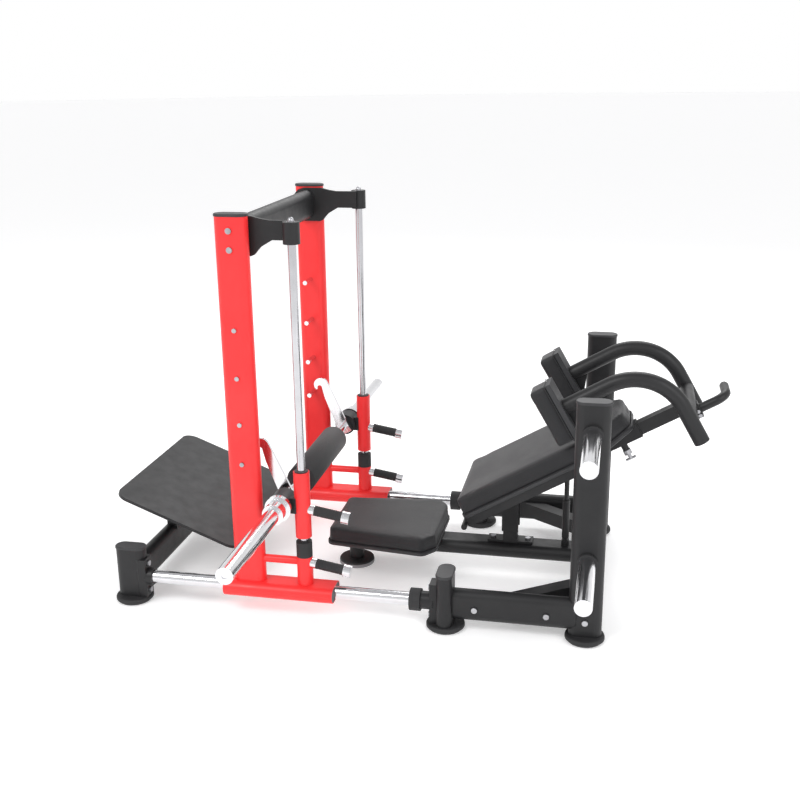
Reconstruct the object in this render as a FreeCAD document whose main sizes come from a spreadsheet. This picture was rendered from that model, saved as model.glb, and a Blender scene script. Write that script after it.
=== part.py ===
import FreeCAD, Part
import os
import Sketcher
from FreeCAD import Placement, Rotation, Vector

# Lying leg press machine with a rolling bar carriage.
# World frame: +X along the rails towards the back rest, +Y across, +Z up, floor at Z = 0.
# Stations along X are measured from the centre of the red uprights; shift_x moves the whole
# machine so that the origin lies under the middle of its bounding box.

doc = FreeCAD.newDocument("LegPress")

SIZES = [
    ("shift_x", -479.88),
    # flat-oval and square tubes
    ("track_half", 400.0), ("oval_long", 100.0), ("oval_short", 50.0), ("wall", 3.0),
    ("foot_height", 20.0), ("foot_radius", 60.0), ("foot_taper", 8.0),
    ("foot_round", 6.0), ("cap_height", 8.0), ("cap_over", 4.0),
    # front (foot plate) end of the base
    ("front_post_x", -406.0), ("front_post_top", 182.0), ("cross_low", 31.0),
    ("plate_length", 450.0), ("plate_width", 620.0), ("plate_thick", 10.0),
    ("plate_round", 45.0), ("plate_x", -283.7), ("plate_z", 243.5), ("plate_tilt", 21.5),
    ("gusset_half", 95.0), ("gusset_set_back", 15.0), ("gusset_thick", 10.0), ("gusset_top", 269.0),
    # rails
    ("rail_radius", 21.0), ("rail_z", 85.0), ("rail_start", -350.0), ("rail_end", 590.0),
    ("flange_low", 20.0), ("flange_height", 130.0), ("flange_thick", 5.0), ("rear_flange_thick", 22.0),
    ("socket_radius", 28.0), ("socket_front_end", -333.0), ("socket_rear_start", 548.0),
    ("stop_start", 514.0), ("stop_length", 34.0), ("stop_radius", 35.0),
    # middle posts, side beams, rear uprights
    ("mid_post_x", 624.0), ("mid_post_top", 182.0), ("beam_low", 34.0),
    ("rear_x", 1048.0), ("rear_top", 746.0),
    ("brace_low", 59.0), ("brace_size", 50.0),
    ("brace_in_x", 777.0), ("brace_out_x", 863.0), ("brace_in_y", 203.0), ("brace_out_y", 263.0),
    ("peg_radius", 25.0), ("peg_length", 270.0), ("peg_high_z", 659.0), ("peg_low_z", 264.0),
    ("peg_ring_radius", 30.0), ("peg_ring_length", 10.0),
    # centre beam and seat
    ("centre_start", 205.0), ("centre_low", 74.0), ("seat_post_x", 244.0),
    ("seat_post_radius", 25.0), ("seat_top", 187.0),
    ("seat_front_x", 178.0), ("seat_wide_x", 512.0), ("seat_rear_x", 551.0),
    ("seat_front_half", 146.0), ("seat_wide_half", 185.0), ("seat_rear_half", 135.0),
    ("seat_corner", 26.0), ("seat_edge", 5.0),
    # support post of the back rest
    ("pivot_x", 780.0), ("pivot_z", 269.0), ("pivot_radius", 8.0), ("support_top", 236.0),
    ("support_plate_half", 75.0), ("support_plate_thick", 8.0), ("support_half", 23.0),
    ("cheek_thick", 8.0), ("cheek_gap", 25.6), ("cheek_half", 27.0),
    ("cheek_low", 169.0), ("cheek_top", 283.0),
    # gas strut of the back rest
    ("strut_x", 962.0), ("strut_low_z", 136.0), ("strut_high_z", 374.0), ("strut_pin", 5.0),
    ("strut_radius", 12.0), ("strut_bore", 8.0), ("strut_rod", 7.95), ("strut_body_top", 284.0),
    ("strut_rod_low", 196.0), ("strut_eye", 12.0), ("strut_eye_bore", 8.0),
    # red carriage
    ("sleeve_start", -80.0), ("sleeve_length", 355.0), ("rail_bush_length", 30.0),
    ("rail_bush_gap", 0.05), ("upright_top", 1254.0),
    ("rod_x", 179.0), ("rod_radius", 12.5), ("rod_low", 134.0), ("rod_top", 1240.0),
    ("post_radius", 25.0), ("post_top", 203.0), ("bumper_top", 253.0),
    ("tie_radius", 12.5), ("tie_z", 184.0),
    ("bracket_thick", 12.0), ("bracket_low", 1134.0), ("bracket_high", 1250.0),
    ("boss_low", 1177.0), ("arm_low", 1182.0), ("arm_high", 1239.0),
    ("top_tube_z", 1193.0),
    ("rack_radius", 8.0), ("rack_length", 75.0),
    ("rack_z_one", 503.0), ("rack_z_two", 630.0), ("rack_z_three", 775.0),
    ("rack_z_four", 922.0), ("bolt_big_z_one", 1159.0), ("bolt_big_z_two", 1214.0),
    ("bolt_radius", 9.0), ("bolt_height", 6.0), ("bolt_small", 7.0), ("bolt_low_height", 5.0),
    ("beam_bolt_z", 78.0), ("foot_bolt_z", 68.0),
    # slide on the guide rods
    ("slide_low", 269.0), ("slide_top", 483.0), ("slide_radius", 25.0), ("slide_bore", 21.0),
    ("slide_bush_length", 30.0), ("slide_bush_lip", 3.0), ("slide_bush_gap", 0.05),
    ("grip_tilt", 9.5), ("grip_upper_z", 363.0), ("grip_lower_z", 184.0),
    ("grip_core", 10.0), ("grip_radius", 16.0), ("grip_collar_end", 38.0),
    ("grip_rubber_end", 126.0), ("grip_cap_radius", 19.5), ("grip_end", 150.0),
    # bar
    ("bar_x", 115.0), ("bar_z", 375.0), ("bar_radius", 14.0), ("bar_gap", 0.05),
    ("bar_half", 880.0), ("housing_radius", 38.0), ("housing_in", 366.0),
    ("housing_out", 431.0), ("hook_in", 336.0), ("hook_thick", 10.0),
    ("hub_out", 362.0), ("hook_off", 12.5), ("hook_gap", 0.6), ("hook_tip", 8.4),
    ("hook_band", 26.4), ("hook_rise", 7.0), ("hook_root", 3.0), ("hook_low_half", 22.0),
    ("clamp_half", 22.0), ("clamp_length", 52.0),
    ("ring_in", 436.0), ("ring_big_radius", 41.0), ("ring_big_end", 452.0),
    ("ring_small_radius", 33.0), ("ring_small_end", 500.0), ("sleeve_radius", 25.0),
    ("sleeve_end", 907.0), ("roller_half", 210.0), ("roller_radius", 47.0),
    # back rest, drawn along the incline: u up the slope, v square to it
    ("incline", 30.0), ("slope_z", -16.0),
    ("pad_low_u", 703.0), ("pad_wide_u", 1190.0), ("pad_high_u", 1300.0),
    ("pad_half", 195.0), ("pad_end_half", 80.0), ("pad_low_v", -77.0), ("pad_high_v", -7.0),
    ("pad_corner", 24.0), ("pad_high_corner", 75.0), ("pad_edge", 5.0),
    ("spine_low_u", 735.0), ("spine_high_u", 1307.0), ("spine_size", 50.0), ("spine_bore", 41.0),
    ("spine_top_v", -78.0), ("rail_half_y", 185.0), ("rail_size", 30.0),
    ("frame_low_u", 705.0), ("frame_mid_u", 930.0), ("frame_high_u", 1120.0),
    ("ear_half", 24.5), ("ear_radius", 18.0),
    ("low_rod_u", 699.0), ("low_rod_v", -93.0), ("low_rod_radius", 9.5), ("low_rod_half", 212.0),
    ("pin_u", 1236.0), ("pin_radius", 5.95), ("pin_bore", 6.0), ("pin_house_radius", 11.0),
    ("pin_house_low_v", -150.0), ("pin_tip_v", -123.5), ("pin_knob_radius", 13.0),
    ("pin_knob_high_v", -152.0), ("pin_knob_low_v", -167.0), ("pin_bar_v", -184.0),
    ("pin_bar_radius", 4.0), ("pin_bar_half", 17.0),
    # shoulder carriage on the incline
    ("tube_size", 40.0), ("tube_wall", 3.0), ("tube_low_u", 900.0), ("tube_v", -103.0),
    ("handle_y", 188.0), ("handle_radius", 24.0), ("handle_wall", 3.0), ("handle_v", 111.0),
    ("handle_start_u", 1168.0), ("handle_bend", 160.0), ("handle_leg_u", 1477.0),
    ("handle_end_v", -170.0), ("cross_radius", 22.0),
    ("shoulder_low_u", 1094.0), ("shoulder_high_u", 1152.0), ("shoulder_low_v", 10.0),
    ("shoulder_high_v", 207.0), ("shoulder_half", 45.0), ("shoulder_edge", 7.0),
    ("board_in", 3.0), ("gusset_low_v", 28.0), ("gusset_far_u", 1216.0), ("web_thick", 6.0),
    ("ell_radius", 14.5), ("ell_v", -130.0), ("ell_start_u", 1502.0), ("ell_u", 1590.0),
    ("ell_bend", 38.0), ("ell_end_y", 112.0), ("block_low_u", 1480.0), ("block_low_v", -154.0),
    ("block_high_v", -106.0), ("block_half", 20.0),
]

sheet = doc.addObject("Spreadsheet::Sheet", "Sizes")
for row, (alias, value) in enumerate(SIZES, start=1):
    sheet.set("A%d" % row, alias)
    sheet.set("B%d" % row, str(value))
    sheet.setAlias("B%d" % row, alias)
doc.recompute()

NODES = []
SHIFT = "Sizes.shift_x"


def size(alias):
    return float(getattr(sheet, alias))


def bind(thing, **formulas):
    """Bind properties to sheet formulas; double underscores stand for dots."""
    for key, formula in formulas.items():
        thing.setExpression(key.replace("__", "."), formula)
    return thing


def place(thing, x=None, y=None, z=None, turn=None):
    """Put a thing at sheet positions, with a fixed turn."""
    if turn is not None:
        thing.Placement = Placement(Vector(0, 0, 0), turn)
    for axis, formula in (("x", x), ("y", y), ("z", z)):
        if formula is not None:
            thing.setExpression("Placement.Base." + axis, formula)
    return thing


def node(thing, label):
    thing.Label = label
    NODES.append(thing)
    return thing


ALONG_X = Rotation(Vector(0, 1, 0), 90)
ALONG_Y = Rotation(Vector(1, 0, 0), -90)
ALONG_Z = Rotation()


# ---------------------------------------------------------------- primitives
def rod(name, radius, length, x="0", y="0", z="0", turn=ALONG_Z):
    thing = doc.addObject("Part::Cylinder", name)
    bind(thing, Radius=radius, Height=length)
    return place(thing, x, y, z, turn)


def block(name, length, width, height, x="0", y="0", z="0"):
    thing = doc.addObject("Part::Box", name)
    bind(thing, Length=length, Width=width, Height=height)
    return place(thing, x, y, z)


def fuse(name, parts):
    thing = doc.addObject("Part::MultiFuse", name)
    thing.Shapes = parts
    thing.Refine = True
    return thing


def cut(name, base, tools):
    """Cut one or more tools out of a base."""
    tool = tools[0] if len(tools) == 1 else fuse(name + "_tools", tools)
    thing = doc.addObject("Part::Cut", name)
    thing.Base = base
    thing.Tool = tool
    return thing


def mirrored(name, source):
    thing = doc.addObject("Part::Mirroring", name)
    thing.Source = source
    thing.Normal = Vector(0, 1, 0)
    return thing


def group(name, parts):
    thing = doc.addObject("Part::Compound", name)
    thing.Links = parts
    return thing


def both_sides(name, parts):
    """The parts on the near side and their mirror images, as one group of solids."""
    return group(name, parts + [mirrored(part.Name + "_far", part) for part in parts])


# ---------------------------------------------------------------- bodies and sketches
def new_body(name, x=SHIFT, y="0", z="0", turn=None):
    body = doc.addObject("PartDesign::Body", name)
    return place(body, x, y, z, turn)


def new_sketch(body, plane, name):
    sketch = body.newObject("Sketcher::SketchObject", name)
    origin_plane = [f for f in body.Origin.OriginFeatures if f.Role == plane][0]
    sketch.AttachmentSupport = [(origin_plane, "")]
    sketch.MapMode = "FlatFace"
    return sketch


def dim(sketch, constraint, name, formula):
    index = sketch.addConstraint(constraint)
    sketch.renameConstraint(index, name)
    sketch.setExpression("Constraints." + name, formula)


def oval_outline(sketch, tag, long_side, short_side, upright):
    """A flat-oval outline centred on the origin; upright puts its long side along sketch Y."""
    far = 25.0
    arc_one = Part.ArcOfCircle(Part.Circle(Vector(far, 0, 0), Vector(0, 0, 1), 25), -1.5708, 1.5708)
    arc_two = Part.ArcOfCircle(Part.Circle(Vector(-far, 0, 0), Vector(0, 0, 1), 25), 1.5708, 4.7124)
    line_one = Part.LineSegment(Vector(far, 25, 0), Vector(-far, 25, 0))
    line_two = Part.LineSegment(Vector(-far, -25, 0), Vector(far, -25, 0))
    shapes = [arc_one, line_one, arc_two, line_two]
    if upright:
        for shape in shapes:
            shape.rotate(Placement(Vector(0, 0, 0), Rotation(Vector(0, 0, 1), 90)))
    first = sketch.addGeometry(shapes, False)[0]
    a, b, c, d = first, first + 1, first + 2, first + 3
    for one, end, two, start in ((a, 2, b, 1), (b, 2, c, 1), (c, 2, d, 1), (d, 2, a, 1)):
        sketch.addConstraint(Sketcher.Constraint("Tangent", one, end, two, start))
    sketch.addConstraint(Sketcher.Constraint("Equal", a, c))
    sketch.addConstraint(Sketcher.Constraint("Symmetric", a, 3, c, 3, -1, 1))
    sketch.addConstraint(Sketcher.Constraint("PointOnObject", a, 3, -2 if upright else -1))
    dim(sketch, Sketcher.Constraint("Radius", a, 25), tag + "_radius", "(%s) / 2" % short_side)
    kind = "DistanceY" if upright else "DistanceX"
    dim(sketch, Sketcher.Constraint(kind, c, 3, a, 3, 2 * far), tag + "_reach",
        "(%s) - (%s)" % (long_side, short_side))


def rectangle_outline(sketch, tag, width, height):
    """A rectangle centred on the origin."""
    points = [Vector(-9, -9, 0), Vector(9, -9, 0), Vector(9, 9, 0), Vector(-9, 9, 0)]
    lines = [Part.LineSegment(points[i], points[(i + 1) % 4]) for i in range(4)]
    first = sketch.addGeometry(lines, False)[0]
    for i in range(4):
        sketch.addConstraint(Sketcher.Constraint("Coincident", first + i, 2, first + (i + 1) % 4, 1))
        sketch.addConstraint(Sketcher.Constraint("Vertical" if i % 2 else "Horizontal", first + i))
    sketch.addConstraint(Sketcher.Constraint("Symmetric", first, 1, first + 2, 1, -1, 1))
    dim(sketch, Sketcher.Constraint("DistanceX", first, 1, first, 2, 18), tag + "_width", width)
    dim(sketch, Sketcher.Constraint("DistanceY", first + 1, 1, first + 1, 2, 18), tag + "_height",
        height)


def polygon_outline(sketch, tag, corners):
    """A closed outline whose corners are pairs of sheet formulas."""
    values = []
    for formulas in corners:
        pair = []
        for formula in formulas:
            plain = formula.replace("Sizes.", "")
            names = {alias: number for alias, number in SIZES if alias in plain}
            pair.append(formula_value(plain, names))
        values.append(Vector(pair[0], pair[1], 0))
    count = len(values)
    lines = [Part.LineSegment(values[i], values[(i + 1) % count]) for i in range(count)]
    first = sketch.addGeometry(lines, False)[0]
    for i in range(count):
        sketch.addConstraint(
            Sketcher.Constraint("Coincident", first + i, 2, first + (i + 1) % count, 1))
    for i, (along, up) in enumerate(corners):
        dim(sketch, Sketcher.Constraint("DistanceX", -1, 1, first + i, 1, values[i].x),
            "%s_x%d" % (tag, i), along)
        dim(sketch, Sketcher.Constraint("DistanceY", -1, 1, first + i, 1, values[i].y),
            "%s_y%d" % (tag, i), up)


def formula_value(plain, names):
    """Starting value of a corner formula made of sums of aliases and numbers."""
    total = 0.0
    for term in plain.replace("-", "+-").split("+"):
        term = term.strip()
        if not term:
            continue
        sign = -1.0 if term.startswith("-") else 1.0
        word = term.lstrip("-").strip()
        total += sign * (names[word] if word in names else float(word))
    return total


def circle_outline(sketch, tag, radius):
    index = sketch.addGeometry(Part.Circle(Vector(0, 0, 0), Vector(0, 0, 1), 10), False)
    sketch.addConstraint(Sketcher.Constraint("Coincident", index, 3, -1, 1))
    dim(sketch, Sketcher.Constraint("Radius", index, 10), tag + "_radius", radius)


def pad(body, sketch, length, name, midplane=False, back=False):
    feature = body.newObject("PartDesign::Pad", name)
    feature.Profile = sketch
    sketch.Visibility = False
    feature.setExpression("Length", length)
    if midplane:
        feature.Midplane = True
    if back:
        feature.Reversed = True
    return feature


def fillet(body, feature, edges, radius, name):
    doc.recompute()
    names = ["Edge%d" % (i + 1) for i, edge in enumerate(feature.Shape.Edges) if edges(edge)]
    rounding = body.newObject("PartDesign::Fillet", name)
    rounding.Base = (feature, names)
    rounding.setExpression("Radius", radius)
    return rounding


def is_parallel(edge, axis):
    if len(edge.Vertexes) != 2:
        return False
    step = edge.Vertexes[1].Point - edge.Vertexes[0].Point
    return step.Length > 1e-6 and abs(step.normalize().dot(axis)) > 0.999


LONG, SHORT, WALL = "Sizes.oval_long", "Sizes.oval_short", "Sizes.wall"


def oval_tube(name, plane, length, x, y, z, upright, hollow=True, midplane=False):
    """A flat-oval tube with its axis square to the given origin plane of its body."""
    body = new_body(name, "%s + %s" % (x, SHIFT), y, z)
    sketch = new_sketch(body, plane, name + "_outline")
    oval_outline(sketch, "outer", LONG, SHORT, upright)
    if hollow:
        oval_outline(sketch, "inner", "%s - 2 * %s" % (LONG, WALL), "%s - 2 * %s" % (SHORT, WALL),
                     upright)
    pad(body, sketch, length, name + "_pad", midplane)
    return body


def ring(name, outer, inner, length, x, y, z, turn):
    """A round tube made of two cylinders."""
    return cut(name, rod(name + "_outer", outer, length, x, y, z, turn),
               [rod(name + "_inner", inner, length, x, y, z, turn)])


def at(x):
    return "%s + %s" % (x, SHIFT)


NEAR_Y = "-Sizes.track_half"
INNER_Y = "-Sizes.track_half + Sizes.oval_short / 2"
OUTER_Y = "-Sizes.track_half - Sizes.oval_short / 2"
HALF_SHORT = "Sizes.oval_short / 2"
HALF_LONG = "Sizes.oval_long / 2"


# ================================================================ fixed base
def build_front_end():
    posts = oval_tube("front_post_near", "XY_Plane", "Sizes.front_post_top - Sizes.foot_height",
                      "Sizes.front_post_x", NEAR_Y, "Sizes.foot_height", False)
    node(both_sides("front_post_pair", [posts]), "front_posts")

    tube = oval_tube("front_cross_body", "XZ_Plane", "2 * (Sizes.track_half - Sizes.oval_short / 2)",
                     "Sizes.front_post_x", "0", "Sizes.cross_low + Sizes.oval_long / 2", True,
                     midplane=True)
    # two upstand plates carry the foot plate; their tops follow its underside
    web = block("upstand", "Sizes.oval_short - Sizes.gusset_set_back", "Sizes.gusset_thick",
                "Sizes.gusset_top - Sizes.cross_low - Sizes.oval_long + Sizes.oval_short / 2",
                at("Sizes.front_post_x - Sizes.oval_short / 2 + Sizes.gusset_set_back"),
                "-Sizes.gusset_half", "Sizes.cross_low + Sizes.oval_long - Sizes.oval_short / 2")
    trim = doc.addObject("Part::Box", "upstand_trim")
    bind(trim, Length="400", Width="300", Height="200")
    tilt = Rotation(Vector(0, 1, 0), size("plate_tilt"))
    trim.Placement = Placement(Vector(0, 0, 0), tilt)
    drop = "Sizes.plate_thick * cos(Sizes.plate_tilt * 1 deg)"
    slide = "Sizes.plate_thick * sin(Sizes.plate_tilt * 1 deg)"
    place(trim, at("Sizes.plate_x - %s - 200 * cos(Sizes.plate_tilt * 1 deg)" % slide), "-250",
          "Sizes.plate_z - %s + 200 * sin(Sizes.plate_tilt * 1 deg)" % drop)
    core = block("upstand_core", "Sizes.oval_short - 2 * Sizes.wall", "400", "100",
                 at("Sizes.front_post_x - Sizes.oval_short / 2 + Sizes.wall"), "-200",
                 "Sizes.cross_low + Sizes.oval_long - 100 - Sizes.wall")
    web_cut = cut("upstand_near", web, [trim, core])
    webs = both_sides("upstands", [web_cut])
    node(fuse("front_cross_fused", [tube, webs]), "front_cross_tube")

    body = new_body("foot_plate_body", at("Sizes.plate_x"), "0", "Sizes.plate_z",
                    Rotation(Vector(0, 1, 0), size("plate_tilt")))
    sketch = new_sketch(body, "XY_Plane", "foot_plate_outline")
    rectangle_outline(sketch, "plate", "Sizes.plate_length", "Sizes.plate_width")
    slab = pad(body, sketch, "Sizes.plate_thick", "foot_plate_pad", back=True)
    upright_axis = Vector(0, 0, 1)
    fillet(body, slab, lambda edge: is_parallel(edge, upright_axis), "Sizes.plate_round",
           "foot_plate_corners")
    node(body, "foot_plate")


def build_rails():
    near = rod("rail_rod", "Sizes.rail_radius", "Sizes.rail_end - Sizes.rail_start",
               at("Sizes.rail_start"), NEAR_Y, "Sizes.rail_z", ALONG_X)
    node(near, "rail_near")
    node(mirrored("rail_rod_far", near), "rail_far")

    front_face = "Sizes.front_post_x + Sizes.oval_long / 2"
    rear_face = "Sizes.mid_post_x - Sizes.oval_short / 2"
    front_block = block("front_flange", "%s + %s + Sizes.flange_thick" % (HALF_SHORT, "0"),
                        "Sizes.oval_short", "Sizes.flange_height",
                        at(front_face + " - Sizes.oval_short / 2"), OUTER_Y, "Sizes.flange_low")
    front_ring = rod("front_socket", "Sizes.socket_radius",
                     "Sizes.socket_front_end - (%s)" % front_face,
                     at(front_face), NEAR_Y, "Sizes.rail_z", ALONG_X)
    post_end = rod("front_flange_saddle", HALF_SHORT, "Sizes.flange_height + 2",
                   at(front_face + " - Sizes.oval_short / 2"), NEAR_Y, "Sizes.flange_low - 1")
    bore = rod("socket_bore", "Sizes.rail_radius", "Sizes.rail_end - Sizes.rail_start",
               at("Sizes.rail_start"), NEAR_Y, "Sizes.rail_z", ALONG_X)
    front = cut("front_rail_socket", fuse("front_socket_solid", [front_block, front_ring]),
                [post_end, bore])
    rear_block = block("rear_flange", "Sizes.rear_flange_thick", "Sizes.oval_short",
                       "Sizes.flange_height", at(rear_face + " - Sizes.rear_flange_thick"),
                       OUTER_Y, "Sizes.flange_low")
    rear_ring = rod("rear_socket", "Sizes.socket_radius",
                    "%s - Sizes.rear_flange_thick / 2 - Sizes.socket_rear_start" % rear_face,
                    at("Sizes.socket_rear_start"), NEAR_Y, "Sizes.rail_z", ALONG_X)
    rear = cut("rear_rail_socket", fuse("rear_socket_solid", [rear_block, rear_ring]), [bore])
    node(both_sides("rail_socket_set", [front, rear]), "rail_sockets")

    stop = ring("rail_stop", "Sizes.stop_radius", "Sizes.rail_radius", "Sizes.stop_length",
                at("Sizes.stop_start"), NEAR_Y, "Sizes.rail_z", ALONG_X)
    rings = [stop]
    for tag, height in (("high", "Sizes.peg_high_z"), ("low", "Sizes.peg_low_z")):
        rings.append(rod("peg_root_" + tag, "Sizes.peg_ring_radius", "Sizes.peg_ring_length",
                         at("Sizes.rear_x"), OUTER_Y + " - Sizes.peg_ring_length", height,
                         ALONG_Y))
    node(both_sides("buffer_ring_set", rings), "buffer_rings")


def build_rear_end():
    mid = oval_tube("mid_post_near", "XY_Plane", "Sizes.mid_post_top - Sizes.foot_height",
                    "Sizes.mid_post_x", NEAR_Y, "Sizes.foot_height", True)
    node(both_sides("mid_post_pair", [mid]), "mid_posts")

    upright = oval_tube("rear_upright_body", "XY_Plane", "Sizes.rear_top - Sizes.foot_height",
                        "Sizes.rear_x", NEAR_Y, "Sizes.foot_height", False)
    node(upright, "rear_upright_near")
    node(mirrored("rear_upright_body_far", upright), "rear_upright_far")

    beam = oval_tube("side_beam_body", "YZ_Plane",
                     "Sizes.rear_x - Sizes.oval_long / 2 + Sizes.oval_short / 2"
                     " - Sizes.mid_post_x - Sizes.oval_short / 2",
                     "Sizes.mid_post_x + Sizes.oval_short / 2", NEAR_Y,
                     "Sizes.beam_low + Sizes.oval_long / 2", True)
    saddle = rod("side_beam_saddle", HALF_SHORT, "200",
                 at("Sizes.rear_x - Sizes.oval_long / 2 + Sizes.oval_short / 2"), NEAR_Y, "0")
    near = cut("side_beam_cut", beam, [saddle])
    node(near, "side_beam_near")
    node(mirrored("side_beam_far_copy", near), "side_beam_far")

    cross = oval_tube("rear_cross_body", "XZ_Plane", "2 * (Sizes.track_half - Sizes.oval_short / 2)",
                      "Sizes.rear_x", "0", "Sizes.beam_low + Sizes.oval_long / 2", True,
                      midplane=True)
    node(cross, "rear_cross_tube")

    body = new_body("brace_body", SHIFT, "0", "Sizes.brace_low")
    sketch = new_sketch(body, "XY_Plane", "brace_outline")
    side = "-Sizes.track_half + 25"
    front = "Sizes.rear_x - 25"
    polygon_outline(sketch, "brace", [("Sizes.brace_in_x", side), ("Sizes.brace_out_x", side),
                                      (front, "-Sizes.brace_out_y"), (front, "-Sizes.brace_in_y")])
    pad(body, sketch, "Sizes.brace_size", "brace_pad")
    node(both_sides("brace_pair", [body]), "diagonal_braces")

    pegs = []
    for tag, height in (("high", "Sizes.peg_high_z"), ("low", "Sizes.peg_low_z")):
        peg = rod("storage_peg_" + tag, "Sizes.peg_radius", "Sizes.peg_length", at("Sizes.rear_x"),
                  OUTER_Y + " - Sizes.peg_ring_length - Sizes.peg_length", height, ALONG_Y)
        pegs.append(peg)
    node(both_sides("storage_peg_set", pegs), "storage_pegs")


def cap(name, x, y, z, upright):
    """A plastic lid with a lip a little wider than the flat-oval tube."""
    body = new_body(name, at(x), y, z)
    sketch = new_sketch(body, "XY_Plane", name + "_outline")
    oval_outline(sketch, "lid", LONG + " + Sizes.cap_over", SHORT + " + Sizes.cap_over", upright)
    lid = pad(body, sketch, "Sizes.cap_height", name + "_pad")
    doc.recompute()
    top = lid.Shape.BoundBox.ZMax
    fillet(body, lid, lambda edge: edge.BoundBox.ZMin > top - 1e-4, "Sizes.cap_height / 2 - 0.5",
           name + "_round")
    return body


def build_caps_and_feet():
    caps = [cap("front_cap", "Sizes.front_post_x", NEAR_Y, "Sizes.front_post_top", False),
            cap("mid_cap", "Sizes.mid_post_x", NEAR_Y, "Sizes.mid_post_top", True),
            cap("rear_cap", "Sizes.rear_x", NEAR_Y, "Sizes.rear_top", False)]
    node(both_sides("post_cap_set", caps), "post_caps")

    def foot(name, x, y):
        body = new_body(name, at(x), y, "0")
        sketch = new_sketch(body, "XY_Plane", name + "_outline")
        circle_outline(sketch, "foot", "Sizes.foot_radius")
        disc = pad(body, sketch, "Sizes.foot_height", name + "_pad")
        doc.recompute()
        top = disc.Shape.BoundBox.ZMax
        crown = fillet(body, disc, lambda edge: edge.BoundBox.ZMin > top - 1e-4,
                       "Sizes.foot_round", name + "_round")
        doc.recompute()
        low = ["Edge%d" % (i + 1) for i, edge in enumerate(crown.Shape.Edges)
               if edge.BoundBox.ZMax < 1e-4]
        taper = body.newObject("PartDesign::Chamfer", name + "_taper")
        taper.Base = (crown, low)
        taper.setExpression("Size", "Sizes.foot_taper")
        return body

    feet = [foot("foot_front", "Sizes.front_post_x", NEAR_Y),
            foot("foot_mid", "Sizes.mid_post_x", NEAR_Y),
            foot("foot_rear", "Sizes.rear_x", NEAR_Y)]
    pairs = both_sides("foot_pairs", feet)
    seat_foot = foot("foot_seat", "Sizes.seat_post_x", "0")
    node(group("foot_set", [pairs, seat_foot]), "floor_feet")


def build_centre():
    beam = oval_tube("centre_beam_body", "YZ_Plane",
                     "Sizes.rear_x - Sizes.oval_short / 2 - Sizes.centre_start",
                     "Sizes.centre_start", "0", "Sizes.centre_low + Sizes.oval_short / 2", False)
    top = "Sizes.centre_low + Sizes.oval_short"
    ears = []
    for side in ("-14", "8"):
        plate = block("strut_ear" + side, "24", "6", "Sizes.strut_low_z - (%s)" % top,
                      at("Sizes.strut_x - 12"), side, top)
        crown = rod("strut_ear_crown" + side, "12", "6", at("Sizes.strut_x"), side,
                    "Sizes.strut_low_z", ALONG_Y)
        below = block("strut_ear_below" + side, "40", "10", "60", at("Sizes.strut_x - 20"),
                      side + " - 2", top + " - 60")
        ears.append(cut("strut_ear_cut" + side, fuse("strut_ear_whole" + side, [plate, crown]),
                        [below]))
    pin = rod("strut_low_pin", "Sizes.strut_pin", "36", at("Sizes.strut_x"), "-18",
              "Sizes.strut_low_z", ALONG_Y)
    node(fuse("centre_beam_fused", [beam, ears[0], ears[1], pin]), "centre_beam")

    node(rod("seat_post_rod", "Sizes.seat_post_radius", "Sizes.centre_low - Sizes.foot_height",
             at("Sizes.seat_post_x"), "0", "Sizes.foot_height"), "seat_post")

    body = new_body("seat_body", SHIFT, "0", top)
    sketch = new_sketch(body, "XY_Plane", "seat_outline")
    polygon_outline(sketch, "seat", [
        ("Sizes.seat_front_x", "-Sizes.seat_front_half"),
        ("Sizes.seat_wide_x", "-Sizes.seat_wide_half"),
        ("Sizes.seat_rear_x", "-Sizes.seat_rear_half"),
        ("Sizes.seat_rear_x", "Sizes.seat_rear_half"),
        ("Sizes.seat_wide_x", "Sizes.seat_wide_half"),
        ("Sizes.seat_front_x", "Sizes.seat_front_half")])
    slab = pad(body, sketch, "Sizes.seat_top - (%s)" % top, "seat_slab")
    upright_axis = Vector(0, 0, 1)
    corners = fillet(body, slab, lambda edge: is_parallel(edge, upright_axis), "Sizes.seat_corner",
                     "seat_corners")
    doc.recompute()
    crown = corners.Shape.BoundBox.ZMax
    fillet(body, corners, lambda edge: edge.BoundBox.ZMin > crown - 1e-4, "Sizes.seat_edge",
           "seat_edge_round")
    node(body, "seat_pad")


def build_support_post():
    top = "Sizes.centre_low + Sizes.oval_short"
    foot = block("support_foot", "2 * Sizes.support_plate_half", "Sizes.oval_short",
                 "Sizes.support_plate_thick", at("Sizes.pivot_x - Sizes.support_plate_half"),
                 "-Sizes.oval_short / 2", top)
    stem = block("support_stem", "2 * Sizes.support_half", "2 * Sizes.cheek_gap",
                 "Sizes.support_top - (%s)" % top, at("Sizes.pivot_x - Sizes.support_half"),
                 "-Sizes.cheek_gap", top)
    cheek = block("support_cheek", "2 * Sizes.cheek_half", "Sizes.cheek_thick",
                  "Sizes.cheek_top - Sizes.cheek_low", at("Sizes.pivot_x - Sizes.cheek_half"),
                  "-Sizes.cheek_gap - Sizes.cheek_thick", "Sizes.cheek_low")
    cheeks = both_sides("support_cheeks", [cheek])
    pin = rod("pivot_pin", "Sizes.pivot_radius",
              "2 * Sizes.cheek_gap + 2 * Sizes.cheek_thick + 12", at("Sizes.pivot_x"),
              "-Sizes.cheek_gap - Sizes.cheek_thick - 6", "Sizes.pivot_z", ALONG_Y)
    node(fuse("support_fused", [foot, stem, cheeks, pin]), "back_support_post")


def bolt(name, x, y, z, turn, radius="Sizes.bolt_radius", height="Sizes.bolt_height"):
    return rod(name, radius, height, x, y, z, turn)


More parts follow.
